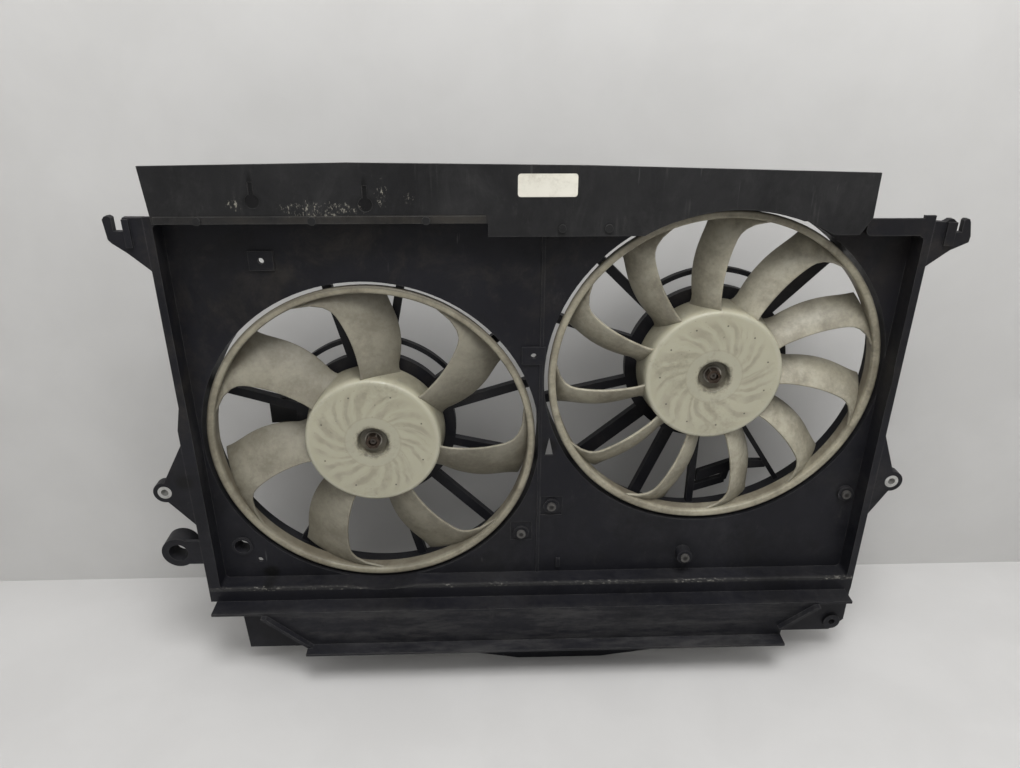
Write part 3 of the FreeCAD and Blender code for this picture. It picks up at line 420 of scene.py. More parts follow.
@dataclass(frozen=True)
class Finish:
    """A plain worn finish: two close tones, dirt, scratches, dust and a moulded or cast skin."""

    name: str
    tone: Colour
    second: Colour
    rough: float = 0.5
    metal: float = 0.0
    dirt: Colour = (0.03, 0.026, 0.02)
    dirt_scale: float = 14.0
    dirt_amount: float = 0.4
    dirt_share: float = 0.6
    dust: Colour = (0.2, 0.18, 0.15)
    dust_amount: float = 0.3
    scratch: Colour = (0.2, 0.2, 0.2)
    scratch_scale: float = 26.0
    scratch_width: float = 0.012
    scratch_amount: float = 0.0
    # edge: the pale tone of worn edges, partly wear and partly painted highlight
    edge: Colour = (0.075, 0.074, 0.072)
    edge_wear_and_highlight_amount: float = 0.0
    grain: float = 900.0
    bump: float = 0.12
    specular: float = 0.5

    def coats(self, graph: Graph) -> None:
        """Lay the tones that only this finish has over its two own ones."""

    def make(self) -> bpy.types.Material:
        """Build the material.

        Returns:
            The finished material.
        """
        made = bpy.data.materials.new(self.name)
        made.use_nodes = True
        made.node_tree.nodes.clear()
        graph = Graph(made.node_tree)
        graph.place = graph.add("TexCoord").outputs["Object"]
        drift = graph.noise(9.0, 4.0, 0.6, 0.3)
        graph.colour = graph.mix(graph.span(drift, 0.3, 0.7), self.tone, self.second)
        spread = graph.span(drift, 0.3, 0.7, -0.06, 0.06)
        self.coats(graph)
        dirt = graph.times(graph.effect(EFFECTS.dirt, Scale=self.dirt_scale, Amount=self.dirt_amount),
                           self.dirt_share)
        graph.coat(self.dirt, dirt)
        graph.coat(self.scratch, graph.effect(EFFECTS.scratches, Scale=self.scratch_scale,
                                              Width=self.scratch_width, Amount=self.scratch_amount))
        # pale sharp edges: rubbed wear plus painted highlight
        if self.edge_wear_and_highlight_amount:
            graph.coat(self.edge, graph.effect(EFFECTS.edges, Amount=self.edge_wear_and_highlight_amount))
        dust = graph.effect(EFFECTS.dust, Scale=11.0, Amount=self.dust_amount)
        graph.coat(self.dust, dust)
        worn = graph.math("ADD", graph.times(dirt, 0.2), graph.times(dust, 0.3))
        rough = graph.math("ADD", graph.math("ADD", spread, self.rough), worn)
        metal = graph.times(graph.math("SUBTRACT", 1.0, graph.math("MAXIMUM", dirt, dust)), self.metal)
        bump = graph.add("Bump", {"Height": graph.effect(EFFECTS.grain, Scale=self.grain),
                                 "Strength": self.bump, "Distance": 0.0004})
        shader = graph.add("BsdfPrincipled", {
            "Base Color": graph.colour, "Roughness": rough, "Metallic": metal, "Normal": bump.outputs[0]})
        shader.inputs["Specular IOR Level"].default_value = self.specular
        self.polish(shader)
        end = graph.add("OutputMaterial")
        graph.tree.links.new(shader.outputs[0], end.inputs[0])
        return made

    def polish(self, shader: bpy.types.Node) -> None:
        """Set the constants that only this finish has."""


@dataclass(frozen=True)
class TrayPlastic(Finish):
    """The panel's black plastic, with brown dust towards the upper right, grey scuffs on the lip, painted
    shade in three recesses and a painted highlight along the lower rim's edge.
    """

    painted_recess_shade_spots: tuple[Spot, ...] = ((-0.275, -0.1125), (-0.339, 0.011), (0.0165, 0.035))
    painted_recess_shade_reach: Spot = (0.0115, 0.0105)
    # the height of the painted highlight along the lower rim's front edge
    rim_highlight_band: Band = (-0.1225, -0.1205, -0.1178, -0.1165)

    def coats(self, graph: Graph) -> None:
        """Black, browner and duller where road dust lies; painted shade darkens the recesses and a painted
        highlight lines the lower rim.

        Args:
            graph: the material's tree.
        """
        parts = graph.add("SeparateXYZ", {0: graph.place}).outputs
        right = graph.span(parts[0], -0.05, 0.33)
        upper = graph.span(parts[2], 0.02, 0.26)
        clouds = graph.span(graph.noise(7.0, 6.0, 0.65, 0.5), 0.35, 0.7)
        graph.coat((0.021, 0.0165, 0.0125), right, upper, graph.times(clouds, 0.8))
        mottle = graph.noise(16.0, 9.0, 0.76, 0.4)
        brownish = graph.mix(graph.span(parts[2], -0.08, 0.12), (0.0175, 0.0175, 0.021),
                             (0.0265, 0.0235, 0.0205))
        graph.coat(brownish, graph.span(mottle, 0.46, 0.72, 0.0, 0.85))
        wear = graph.noise(85.0, 8.0, 0.8, place=graph.placed(scale=(1.0, 1.0, 0.4)))
        graph.coat((0.05, 0.047, 0.042), graph.span(wear, 0.57, 0.76, 0.0, 0.4))
        scuffs = graph.noise(24.0, 8.0, 0.78, place=graph.placed(scale=(0.3, 1, 1.6)))
        lip = graph.times(graph.span(parts[1], -0.012, -0.022), graph.span(scuffs, 0.42, 0.68))
        graph.coat((0.052, 0.051, 0.051), lip, 0.7)
        # painted highlight: a paler line along the lower rim's front edge, partly wear, with pale specks
        # along it
        low = graph.band(parts[2], self.rim_highlight_band)
        rim_highlight_line = graph.times(low, graph.span(parts[1], 0.0045, 0.0015))
        flecks = graph.noise(330.0, 4.0, 0.7, place=graph.placed(scale=(0.6, 1, 1)))
        patch = graph.span(graph.noise(19.0, 3.0), 0.38, 0.6)
        speck = graph.times(rim_highlight_line, graph.span(flecks, 0.53, 0.62), patch)
        graph.coat((0.05, 0.049, 0.048), rim_highlight_line, 0.45)
        # painted shade: near-black patches where the recesses are
        for spot in self.painted_recess_shade_spots:
            graph.coat((0.0022, 0.0022, 0.0025), graph.near(spot, self.painted_recess_shade_reach))
        graph.coat((0.3, 0.29, 0.26), speck, 0.7)


@dataclass(frozen=True)
class FlapPlastic(Finish):
    """The thin flap's black plastic: grey rubs, vertical scratches, painted shade in its keyholes and a
    dusty brown fold.
    """

    fold: Band = (0.2618, 0.2632, 0.2689, 0.2703)
    painted_keyhole_shade_spots: tuple[Spot, ...] = ((-0.238, 0.2815), (-0.145, 0.2785))
    slot_rise: float = 0.011
    clusters: tuple[tuple[Spot, Spot], ...] = (
        ((-0.185, 0.2745), (0.062, 0.0115)), ((-0.131, 0.287), (0.009, 0.02)),
        ((-0.109, 0.2835), (0.008, 0.009)), ((-0.252, 0.2795), (0.014, 0.009)))

    def coats(self, graph: Graph) -> None:
        """Black with pale rubs, painted shade in the keyholes, and dust along the fold.

        Args:
            graph: the material's tree.
        """
        parts = graph.add("SeparateXYZ", {0: graph.place}).outputs
        rubs = graph.noise(21.0, 8.0, 0.74, 0.8, place=graph.placed(scale=(1.0, 1.0, 0.55)))
        graph.coat((0.036, 0.0355, 0.036), graph.span(rubs, 0.45, 0.8, 0.0, 0.75))
        wear = graph.noise(75.0, 8.0, 0.8, place=graph.placed(scale=(1.0, 1.0, 0.3)))
        graph.coat((0.05, 0.049, 0.047), graph.span(wear, 0.55, 0.75, 0.0, 0.5))
        streaks = graph.noise(210.0, 3.0, 0.6, place=graph.placed(scale=(1.0, 1.0, 0.05)))
        drips = graph.times(graph.span(streaks, 0.58, 0.76), graph.span(graph.noise(11.0, 3.0), 0.48, 0.62))
        graph.coat((0.1, 0.098, 0.095), drips, 0.3)
        # painted shade: dark keyhole shapes where the slots would lie in shade
        for x, z in self.painted_keyhole_shade_spots:
            mark = graph.math("MAXIMUM", graph.near((x, z), (0.0105, 0.0095)),
                              graph.near((x, z + self.slot_rise), (0.004, 0.016)))
            keyhole_shade = graph.times(mark, graph.span(rubs, 0.2, 0.5, 0.5, 0.95))
            graph.coat((0.0035, 0.0035, 0.004), keyhole_shade)
        flecks = graph.noise(380.0, 6.0, 0.75, place=graph.placed(scale=(1.0, 1.0, 0.6)))
        cluster = 0.0
        for centre, reach in self.clusters:
            cluster = graph.math("MAXIMUM", cluster, graph.near(centre, reach))
        level = graph.math("ADD", flecks, graph.times(graph.math("SUBTRACT", cluster, 1.0), 0.2))
        graph.coat((0.32, 0.305, 0.26), graph.span(level, 0.535, 0.61), 0.75)
        low = graph.band(parts[2], self.fold)
        left = graph.span(parts[0], -0.040, -0.050)
        towards = graph.span(parts[0], -0.3, -0.06, 0.35, 1.0)
        cover = graph.times(graph.span(graph.noise(34.0, 8.0, 0.75), 0.3, 0.7, 0.1, 0.7), towards)
        graph.coat((0.046, 0.04, 0.031), low, left, cover)


@dataclass(frozen=True)
class FanPlastic(Finish):
    """Aged, translucent cream plastic of one fan's blades and ring, dirtier towards the tips."""

    centre: tuple[float, float, float] = (0.0, 0.0, 0.0)

    def polar(self, graph: Graph) -> tuple[Socket, Socket, Socket]:
        """Position about the fan's axis.

        Args:
            graph: the material's tree.

        Returns:
            Sockets of the position from the fan's centre, the radius and the depth.
        """
        local = graph.placed(shift=tuple(-c for c in self.centre))
        x, depth, z = graph.add("SeparateXYZ", {0: local}).outputs
        return local, graph.length(x, z), depth

    def coats(self, graph: Graph) -> None:
        """Cream with olive shading in broad soft patches, and darker backs.

        Args:
            graph: the material's tree.
        """
        local, radius, depth = self.polar(graph)
        deep = graph.span(depth, 0.004, 0.03, 0.0, 0.45)
        graph.coat((0.14, 0.13, 0.1), deep)
        film = graph.noise(30.0, 6.0, 0.66, 0.5, place=local)
        graph.coat((0.135, 0.12, 0.088), graph.span(film, 0.42, 0.8, 0.0, 0.45))
        tips = graph.times(graph.span(radius, 0.13, 0.151), graph.span(film, 0.4, 0.7, 0.1, 0.6))
        graph.coat((0.11, 0.097, 0.072), tips)

    def polish(self, shader: bpy.types.Node) -> None:
        """Let some light into the plastic."""
        shader.inputs["Subsurface Weight"].default_value = 0.18
        shader.inputs["Subsurface Radius"].default_value = (0.006, 0.005, 0.0035)
        shader.inputs["Subsurface Scale"].default_value = 0.6


@dataclass(frozen=True)
class RingPlastic(FanPlastic):
    """The ring's cream plastic, browner than the blades, with its rolled crest pale in stretches: rubbed
    wear and painted highlight.
    """

    crest: Band = (0.1528, 0.1542, 0.1568, 0.1592)

    def coats(self, graph: Graph) -> None:
        """Brown-grey with pale stretches along the crest, partly rubbed wear and partly painted highlight.

        Args:
            graph: the material's tree.
        """
        local, radius, depth = self.polar(graph)
        stretches = graph.noise(22.0, 6.0, 0.7, 0.6, place=local)
        front = graph.span(depth, 0.0035, 0.0008)
        inner = graph.band(radius, self.crest)
        # painted highlight along the crest, broken into rubbed stretches
        pale = graph.times(front, inner, graph.span(stretches, 0.3, 0.65, 0.35, 1.0))
        graph.coat((0.335, 0.31, 0.232), pale)
        grime = graph.span(stretches, 0.45, 0.72, 0.0, 0.72)
        graph.coat((0.085, 0.07, 0.047), grime)
        wall = graph.span(depth, 0.003, 0.0065, 0.0, 0.65)
        graph.coat((0.075, 0.06, 0.042), wall, graph.span(stretches, 0.3, 0.55, 0.4, 1.0))
        rim = graph.span(radius, 0.1572, 0.1594, 0.0, 0.6)
        graph.coat((0.06, 0.052, 0.04), rim)


@dataclass(frozen=True)
class HubPlastic(FanPlastic):
    """The hub's face: lighter cream with swirled olive flow marks, small pin marks, painted shade in the
    recess and round it, and a painted highlight on the front edge.
    """

    swirl: float = 1.0
    pins: int = 8
    pin_circle: float = 0.0525
    pin_turn: float = 0.0
    marks: int = 18
    marked: Band = (0.024, 0.031, 0.05, 0.062)
    collar: Band = (0.0165, 0.019, 0.0255, 0.0275)
    painted_groove_shade_band: Band = (0.0262, 0.0272, 0.0278, 0.0288)
    rim: Band = (0.0605, 0.063, 0.0655, 0.0668)

    def coats(self, graph: Graph) -> None:
        """Cream, flow marks that fan out and bend, pin marks, painted shade darkening the centre recess and
        its groove, and a painted highlight on the rim.

        Args:
            graph: the material's tree.
        """
        local, radius, depth = self.polar(graph)
        wobble = graph.times(graph.math("SUBTRACT", graph.noise(26.0, 3.0, place=local), 0.5), 0.5)
        bend = graph.times(graph.math("SUBTRACT", radius, 0.02), 16.0 * self.swirl)
        x, _, z = graph.add("SeparateXYZ", {0: local}).outputs
        bearing = graph.math("ADD", graph.math("ARCTAN2", z, x), graph.math("ADD", bend, wobble))
        swung = graph.times(graph.math("COSINE", bearing), 0.05)
        outward = graph.times(radius, 0.32)
        raised = graph.times(graph.math("SINE", bearing), 0.05)
        ring = graph.add("CombineXYZ", {0: swung, 1: outward, 2: raised}).outputs[0]
        flow = graph.noise(42.0, 4.0, 0.6, 0.5, place=ring)
        petal = graph.math("SINE", graph.math("ADD", graph.times(bearing, float(self.marks)),
                                              graph.times(flow, 14.0)))
        zone = graph.band(radius, self.marked)
        patch = graph.noise(45.0, 4.0, 0.6, place=local)
        olive = graph.times(graph.span(petal, -0.5, 1.0, 0.0, 0.5), zone)
        olive = graph.times(olive, graph.span(patch, 0.3, 0.62, 0.15, 1.0))
        graph.coat((0.2, 0.182, 0.138), olive)
        pale = graph.times(graph.span(petal, -0.4, -1.0, 0.0, 0.3), zone)
        graph.coat((0.4, 0.385, 0.3), pale)
        graph.coat((0.33, 0.325, 0.27), graph.band(radius, self.collar), 0.22)
        # painted shade: a darker ring where a groove round the recess would be in shade
        graph.coat((0.17, 0.155, 0.115), graph.band(radius, self.painted_groove_shade_band), 0.16)
        spots = graph.span(graph.noise(310.0, 2.0, 0.5, place=local), 0.69, 0.74, 0.0, 0.5)
        graph.coat((0.1, 0.085, 0.06), spots)
        turned = graph.math("ADD", graph.math("ARCTAN2", z, x), self.pin_turn)
        step = graph.times(turned, self.pins / math.tau)
        off = graph.math("SUBTRACT", graph.math("FRACT", step), 0.5)
        along = graph.times(off, math.tau * self.pin_circle / self.pins)
        across = graph.math("SUBTRACT", radius, self.pin_circle)
        pin = graph.span(graph.length(along, across), 0.0011, 0.0006)
        graph.coat((0.05, 0.045, 0.035), pin, 0.85)
        # painted shade: the recess darkened brown towards its middle, with a ragged edge
        ragged = graph.math("SUBTRACT", graph.noise(160.0, 5.0, 0.7, place=local), 0.5)
        recess_shade_radius = graph.math("ADD", radius, graph.times(ragged, 0.012))
        graph.coat((0.06, 0.052, 0.038), graph.span(recess_shade_radius, 0.0195, 0.0135, 0.0, 0.9))
        # painted highlight: a pale band on the hub's rounded front edge
        rim = graph.band(radius, self.rim)
        graph.coat((0.42, 0.41, 0.33), rim, graph.span(flow, 0.3, 0.6, 0.15, 0.5))
        edge = graph.span(depth, 0.003, 0.012, 0.0, 0.8)
        sides = graph.noise(60.0, 6.0, 0.7, place=local)
        graph.coat((0.15, 0.138, 0.1), edge, graph.span(sides, 0.25, 0.6, 0.6, 1.0))


@dataclass(frozen=True)
class PaperSticker(Finish):
    """The sticker's off-white face, faintly soiled."""

    def coats(self, graph: Graph) -> None:
        """Off-white with a faint brownish film.

        Args:
            graph: the material's tree.
        """
        film = graph.noise(120.0, 5.0, 0.7, place=graph.placed(scale=(0.4, 1, 1)))
        graph.coat((0.45, 0.42, 0.34), graph.span(film, 0.45, 0.8, 0.0, 0.35))


@dataclass(frozen=True)
class NutSteel(Finish):
    """The fan nuts: brown rusty flats and end, and a paler speckled washer."""

    hubs: tuple[Spot, ...] = ((-0.158, 0.0415), (0.1734, 0.1081))
    nut_reach: Spot = (0.0078, 0.0078)
    end_reach: Spot = (0.0036, 0.0036)
    dimple_shade_reach: Spot = (0.002, 0.002)

    def coats(self, graph: Graph) -> None:
        """Pale washers round rusty brown middles, with a dot of painted shade in each centre.

        Args:
            graph: the material's tree.
        """
        rust = graph.noise(420.0, 5.0, 0.7)
        brown = graph.mix(graph.span(rust, 0.35, 0.65), (0.022, 0.015, 0.011), (0.075, 0.05, 0.036))
        for hub in self.hubs:
            graph.coat(brown, graph.near(hub, self.nut_reach, 0.88))
            graph.coat((0.16, 0.145, 0.13), graph.near(hub, self.end_reach, 0.7))
            # painted shade: a dark dot where the shaft end's dimple is
            graph.coat((0.015, 0.012, 0.01), graph.near(hub, self.dimple_shade_reach))


@dataclass(frozen=True)
class WallPaper(Finish):
    """The studio wall's paper, clear from its back so that the module can be looked at from there."""

    def polish(self, shader: bpy.types.Node) -> None:
        """Let the back of the sheet be seen through.

        Args:
            shader: the material's shader.
        """
        graph = Graph(shader.id_data)
        back = graph.add("NewGeometry").outputs["Backfacing"]
        graph.tree.links.new(graph.math("SUBTRACT", 1.0, back), shader.inputs["Alpha"])


@dataclass(frozen=True)
class ScrewSteel(Finish):
    """Greyed steel of the panel's screws, with painted shade as a dark socket in each head."""

    heads: tuple[Spot, ...] = ((-0.011, -0.0685), (0.020, -0.0355), (0.162, -0.0955), (0.325, -0.0245))
    socket_shade_reach: Spot = (0.0036, 0.0036)

    def coats(self, graph: Graph) -> None:
        """Grey rims round dark sockets of painted shade.

        Args:
            graph: the material's tree.
        """
        for head in self.heads:
            # painted shade: a dark disc where each head's socket is
            graph.coat((0.012, 0.011, 0.01), graph.near(head, self.socket_shade_reach))


PLASTIC = dict(rough=0.5, dirt=(0.004, 0.004, 0.0045), dirt_amount=0.4, dust=(0.056, 0.053, 0.05),
               scratch=(0.12, 0.12, 0.12), scratch_width=0.05, scratch_amount=0.35, bump=0.2, specular=0.22,
               edge_wear_and_highlight_amount=0.6)
PAPER = dict(dirt_amount=0.0, dirt_share=0.0, dust_amount=0.0, bump=0.02)
METAL = dict(metal=1.0, rough=0.32, dirt=(0.05, 0.043, 0.035), dirt_scale=70.0, dust_amount=0.0,
             grain=2600.0, bump=0.06)

TRAY_BLACK = TrayPlastic("tray_black", (0.0054, 0.0055, 0.0082), (0.0092, 0.0094, 0.0128), dust_amount=0.2,
                         **PLASTIC)
FLAP_BLACK = FlapPlastic("flap_black", (0.0095, 0.0097, 0.0105), (0.0165, 0.0165, 0.0172), dust_amount=0.1,
                         **PLASTIC)
CLIP_BLACK = Finish("clip_black", (0.009, 0.009, 0.0095), (0.015, 0.015, 0.0155), dust_amount=0.2, **PLASTIC)
STICKER_PAPER = PaperSticker("sticker_paper", (0.66, 0.64, 0.56), (0.72, 0.7, 0.62), rough=0.5,
                             dirt_amount=0.3, dirt=(0.3, 0.27, 0.21), dirt_scale=60.0, dirt_share=0.5,
                             dust_amount=0.0, scratch=(0.3, 0.28, 0.25), scratch_scale=70.0,
                             scratch_amount=0.35, bump=0.03)
ZINC = Finish("zinc_plate", (0.5, 0.5, 0.49), (0.62, 0.62, 0.6), dirt_amount=0.45,
              **{**METAL, "dust_amount": 0.15})
STAINED = NutSteel("stained_steel", (0.26, 0.245, 0.215), (0.56, 0.53, 0.47), dirt_amount=0.5,
                   **{**METAL, "rough": 0.42, "dirt": (0.035, 0.026, 0.018), "dirt_scale": 150.0,
                      "dust_amount": 0.1})
SCREW = ScrewSteel("screw_steel", (0.075, 0.072, 0.068), (0.16, 0.155, 0.148), rough=0.4, metal=0.7,
                   dirt=(0.012, 0.011, 0.01), dirt_scale=160.0, dirt_amount=0.6, dust_amount=0.1)
LAMINATION = Finish("lamination_steel", (0.2, 0.2, 0.21), (0.27, 0.27, 0.28), dirt_amount=0.3, **METAL)
WIRE = Finish("lacquered_copper", (0.45, 0.16, 0.05), (0.6, 0.24, 0.09), dirt_amount=0.2,
              **{**METAL, "rough": 0.28})
COPPER = Finish("worn_copper", (0.6, 0.3, 0.17), (0.72, 0.4, 0.25), dirt_amount=0.4, **METAL)
CASE_PAINT = Finish("case_paint", (0.03, 0.03, 0.032), (0.045, 0.045, 0.046), rough=0.38, dirt_amount=0.4,
                    dirt=(0.09, 0.07, 0.05), dirt_share=0.35, dust=(0.2, 0.175, 0.14), dust_amount=0.35,
                    scratch=(0.35, 0.34, 0.32), scratch_amount=0.5, grain=1500.0, bump=0.15)
BRONZE = Finish("sintered_bronze", (0.4, 0.24, 0.1), (0.5, 0.32, 0.16), dirt_amount=0.4,
                **{**METAL, "rough": 0.45})
FERRITE = Finish("ferrite", (0.035, 0.035, 0.038), (0.055, 0.055, 0.058), rough=0.7, dust_amount=0.0)
CARD = Finish("card_plastic", (0.11, 0.07, 0.035), (0.15, 0.1, 0.05), rough=0.55, dust_amount=0.1)
CARBON = Finish("carbon", (0.02, 0.02, 0.021), (0.04, 0.04, 0.042), rough=0.5, dust_amount=0.0)
INLET = Finish("inlet_plastic", (0.009, 0.009, 0.01), (0.016, 0.016, 0.017), dust_amount=0.15, **PLASTIC)
BRASS = Finish("tinned_brass", (0.55, 0.5, 0.4), (0.66, 0.62, 0.52), dirt_amount=0.3, **METAL)

BLADE_CREAM = (0.212, 0.199, 0.154), (0.268, 0.252, 0.199)
RING_CREAM = (0.19, 0.176, 0.132), (0.235, 0.22, 0.168)
HUB_CREAM = (0.345, 0.33, 0.246), (0.397, 0.38, 0.288)

NODE_FINISH: dict[str, Finish] = {"shroud": TRAY_BLACK, "spider": TRAY_BLACK, "hook": TRAY_BLACK,
                                  "bolt_ear": TRAY_BLACK, "low_ear": TRAY_BLACK, "boss_screws": SCREW,
                                  "air_flap": FLAP_BLACK, "flap_clips": CLIP_BLACK, "label": STICKER_PAPER,
                                  "bushing": ZINC, "fan_nut": STAINED, "motor_shaft": STAINED,
                                  "armature_core": LAMINATION, "winding": WIRE, "commutator": COPPER,
                                  "motor_case": CASE_PAINT, "end_cover": ZINC, "motor_screws": ZINC,
                                  "front_bearing": BRONZE, "rear_bearing": BRONZE, "magnets": FERRITE,
                                  "brush_card": CARD, "brushes": CARBON, "inlet": INLET, "inlet_pins": BRASS}


def piece_from(mesh: bmesh.types.BMesh, name: str, material: bpy.types.Material, recalc: bool = True
               ) -> bpy.types.Object:
    """Turn a finished bmesh into a piece at the origin.

    Args:
        mesh: the shape, in the module's frame.
        name: the piece's name.
        material: its finish.
        recalc: whether the faces are made to point outwards.

    Returns:
        The piece.
    """
    bmesh.ops.remove_doubles(mesh, verts=mesh.verts, dist=1e-6)
    if recalc:
        bmesh.ops.recalc_face_normals(mesh, faces=mesh.faces)
    for edge in mesh.edges:
        turn = edge.calc_face_angle(0.0) if len(edge.link_faces) == 2 else math.pi
        edge.smooth = turn < SHARP_TURN
    for face in mesh.faces:
        face.smooth = True
    data = bpy.data.meshes.new(name)
    mesh.to_mesh(data)
    mesh.free()
    data.materials.append(material)
    piece = bpy.data.objects.new(name, data)
    bpy.context.scene.collection.objects.link(piece)
    return piece


def spun(profile: Iterable[Spot], steps: int) -> bmesh.types.BMesh:
    """Spin a closed profile of radius and depth about the Y axis.

    Args:
        profile: the outline's points in order.
        steps: divisions of the full turn.

    Returns:
        The spun shape.
    """
    mesh = bmesh.new()
    verts = [mesh.verts.new((radius, depth, 0.0)) for radius, depth in profile]
    edges = [mesh.edges.new(pair) for pair in zip(verts, verts[1:] + verts[:1])]
    bmesh.ops.spin(mesh, geom=verts + edges, cent=(0, 0, 0), axis=(0, 1, 0), angle=math.tau,
                   steps=steps, use_merge=True)
    bmesh.ops.remove_doubles(mesh, verts=mesh.verts, dist=1e-6)
    return mesh


def rounded(points: Sequence[Spot], radii: Sequence[float], steps: int) -> list[Spot]:
    """Round the corners of a profile.

    Args:
        points: its corners in order.
        radii: the radius at each corner, 0 for a sharp one.
        steps: divisions of each rounding.

    Returns:
        The points of the rounded profile.
    """
    result = []
    for index, (point, radius) in enumerate(zip(points, radii)):
        here = Vector(point)
        if radius <= 0:
            result.append(tuple(here))
            continue
        back = Vector(points[index - 1]) - here
        ahead = Vector(points[(index + 1) % len(points)]) - here
        reach = min(radius, back.length * 0.49, ahead.length * 0.49)
        first, last = here + back.normalized() * reach, here + ahead.normalized() * reach
        for step in range(steps + 1):
            share = step / steps
            result.append(tuple(first.lerp(here, share).lerp(here.lerp(last, share), share)))
    return result


@dataclass
class Fan:
    """One moulded fan: cupped hub, swept blades and the ring round their tips."""

    side: Side
    centre: tuple[float, float, float]
    blades: int
    pins: int
    root_span: float
    tip_span: float
    sweep: float
    turn: float
    brightness: float = 1.0
    pin_turn: float = 0.0
    hub_front: float = 66.0
    hub_back: float = 70.0
    hub_depth: float = 31.0
    hub_wall: float = 2.6
    dish: float = 15.5
    dish_depth: float = 8.0
    boss: float = 12.0
    boss_back: float = 14.0
    bore: float = 4.05
    ring_bore: float = 152.6
    ring_outer: float = 160.0
    ring_crest: float = 4.0
    ring_wall: float = 4.6
    ring_depth: float = 15.0
    blade_front: float = 2.5
    root_back: float = 28.5
    tip_back: float = 25.5
    camber: float = 3.4
    thick: float = 2.6
    lead_flare: float = 42.0
    trail_flare: float = 6.0
    root_flare: float = 4.5
    root_sink: float = 1.4
    tip_sink: float = 0.8
    rib_count: int = 8
    rib_depth: float = 9.0
    rib_thick: float = 1.8

    @property
    def seat(self) -> Matrix:
        """Where the fan stands: metres, turned about its axis and moved to its centre."""
        return (Matrix.Translation(Vector(self.centre)) @ Matrix.Rotation(math.radians(self.turn), 4, "Y")
                @ Matrix.Scale(MM, 4))

    def settle(self, mesh: bmesh.types.BMesh) -> bmesh.types.BMesh:
        """Move a shape made in millimetres about the fan's own axis to its place."""
        bmesh.ops.transform(mesh, matrix=self.seat, verts=mesh.verts)
        return mesh

    def hub(self) -> bmesh.types.BMesh:
        """The cupped hub with its recess and its softly rounded front edge."""
        wall, floor, back = self.hub_wall, self.dish_depth, self.hub_depth
        points = [(self.bore, floor), (self.dish - 2, floor), (self.dish, 0), (self.hub_front, 0),
                  (self.hub_back, back), (self.hub_back - wall, back), (self.hub_front - wall, wall),
                  (self.dish + wall, wall), (self.dish + wall - 1, floor + wall), (self.boss, floor + wall),
                  (self.boss, self.boss_back), (self.bore, self.boss_back)]
        radii = (0.3, 1.6, 1.2, 3.4, 0.5, 0.5, 2.0, 1.0, 1.0, 0.6, 0.6, 0.4)
        return self.settle(spun(rounded(points, radii, 5), 144))

    def ring(self) -> bmesh.types.BMesh:
        """The ring, with a rolled front crest and a thin skirt."""
        outer = self.ring_bore + self.ring_wall
        points = [(self.ring_bore, 0), (self.ring_outer, 0), (self.ring_outer, self.ring_crest),
                  (outer, self.ring_crest + 1), (outer, self.ring_depth), (self.ring_bore, self.ring_depth)]
        radii = (2.6, 2.6, 0.8, 1.5, 0.6, 0.6)
        return self.settle(spun(rounded(points, radii, 5), 216))

    def blade_point(self, reach: float, chord: float) -> Vector:
        """A point of a blade's middle surface.

        Args:
            reach: 0 at the hub's wall to 1 at the ring's bore.
            chord: 0 at the leading edge to 1 at the trailing edge.

        Returns:
            The point in millimetres about the fan's axis, before the blade is turned to its place.
        """
        def flat(share: float) -> Vector:
            """The point at a share of the way from the hub's front to the ring, in the flat of the sweep."""
            grown = max(share, 0.0)
            radius = self.hub_front + (self.ring_bore - self.hub_front) * share
            middle = self.sweep * grown ** 1.85
            half = (self.root_span + (self.tip_span - self.root_span) * grown) / 2
            back = self.root_back + (self.tip_back - self.root_back) * grown
            lean = self.side.value
            lead = Vector((-lean * radius * math.tan(math.radians(middle + half)), self.blade_front))
            trail = Vector((-lean * radius * math.tan(math.radians(middle - half)), back))
            run = trail - lead
            aside = Vector((lean * run.y, -lean * run.x)).normalized()
            spot = lead.lerp(trail, chord) + aside * self.camber * 4 * chord * (1 - chord)
            spread = trail_by * chord ** 2 - lead_by * (1 - chord) ** 2
            return Vector((spot.x + lean * spread, max(spot.y, 0.9), radius))

        tip, root = max((reach - 0.7) / 0.3, 0.0), max((0.12 - reach) / 0.12, 0.0)
        lead_by = self.lead_flare * tip ** 4 + self.root_flare * 0.3 * root ** 2
        trail_by = self.trail_flare * tip ** 3 + self.root_flare * root ** 2
        foot = self.hub_front - self.root_sink + (self.hub_back - self.hub_front) * chord
        wanted = foot + (self.ring_bore + self.tip_sink - foot) * reach
        low, high = -0.3, 1.1
        for _ in range(22):
            middle = (low + high) / 2
            found = flat(middle)
            if math.hypot(found.x, found.z) < wanted:
                low = middle
            else:
                high = middle
        return flat((low + high) / 2)

    def blade(self, index: int) -> bmesh.types.BMesh:
        """One blade, its grid bent to shape and given its thickness.

        Args:
            index: which blade, counted round the hub.

        Returns:
            The blade's shape in its place.
        """
        mesh = bmesh.new()
        bmesh.ops.create_grid(mesh, x_segments=18, y_segments=14, size=0.5)
        for vert in mesh.verts:
            reach, chord = vert.co.x + 0.5, vert.co.y + 0.5
            vert.co = self.blade_point(reach, min(max(chord, 0.0), 1.0))
        bmesh.ops.recalc_face_normals(mesh, faces=mesh.faces)
        for vert in mesh.verts:
            vert.normal_update()
        bmesh.ops.solidify(mesh, geom=list(mesh.faces) + list(mesh.edges) + list(mesh.verts),
                           thickness=self.thick)
        rim = [edge for edge in mesh.edges if edge.calc_face_angle(0.0) > math.radians(50)]
        bmesh.ops.bevel(mesh, geom=rim, offset=0.9, segments=3, profile=0.5, affect="EDGES", material=-1)
        turn = Matrix.Rotation(math.tau * index / self.blades, 4, "Y")
        bmesh.ops.transform(mesh, matrix=turn, verts=mesh.verts)
        return self.settle(mesh)

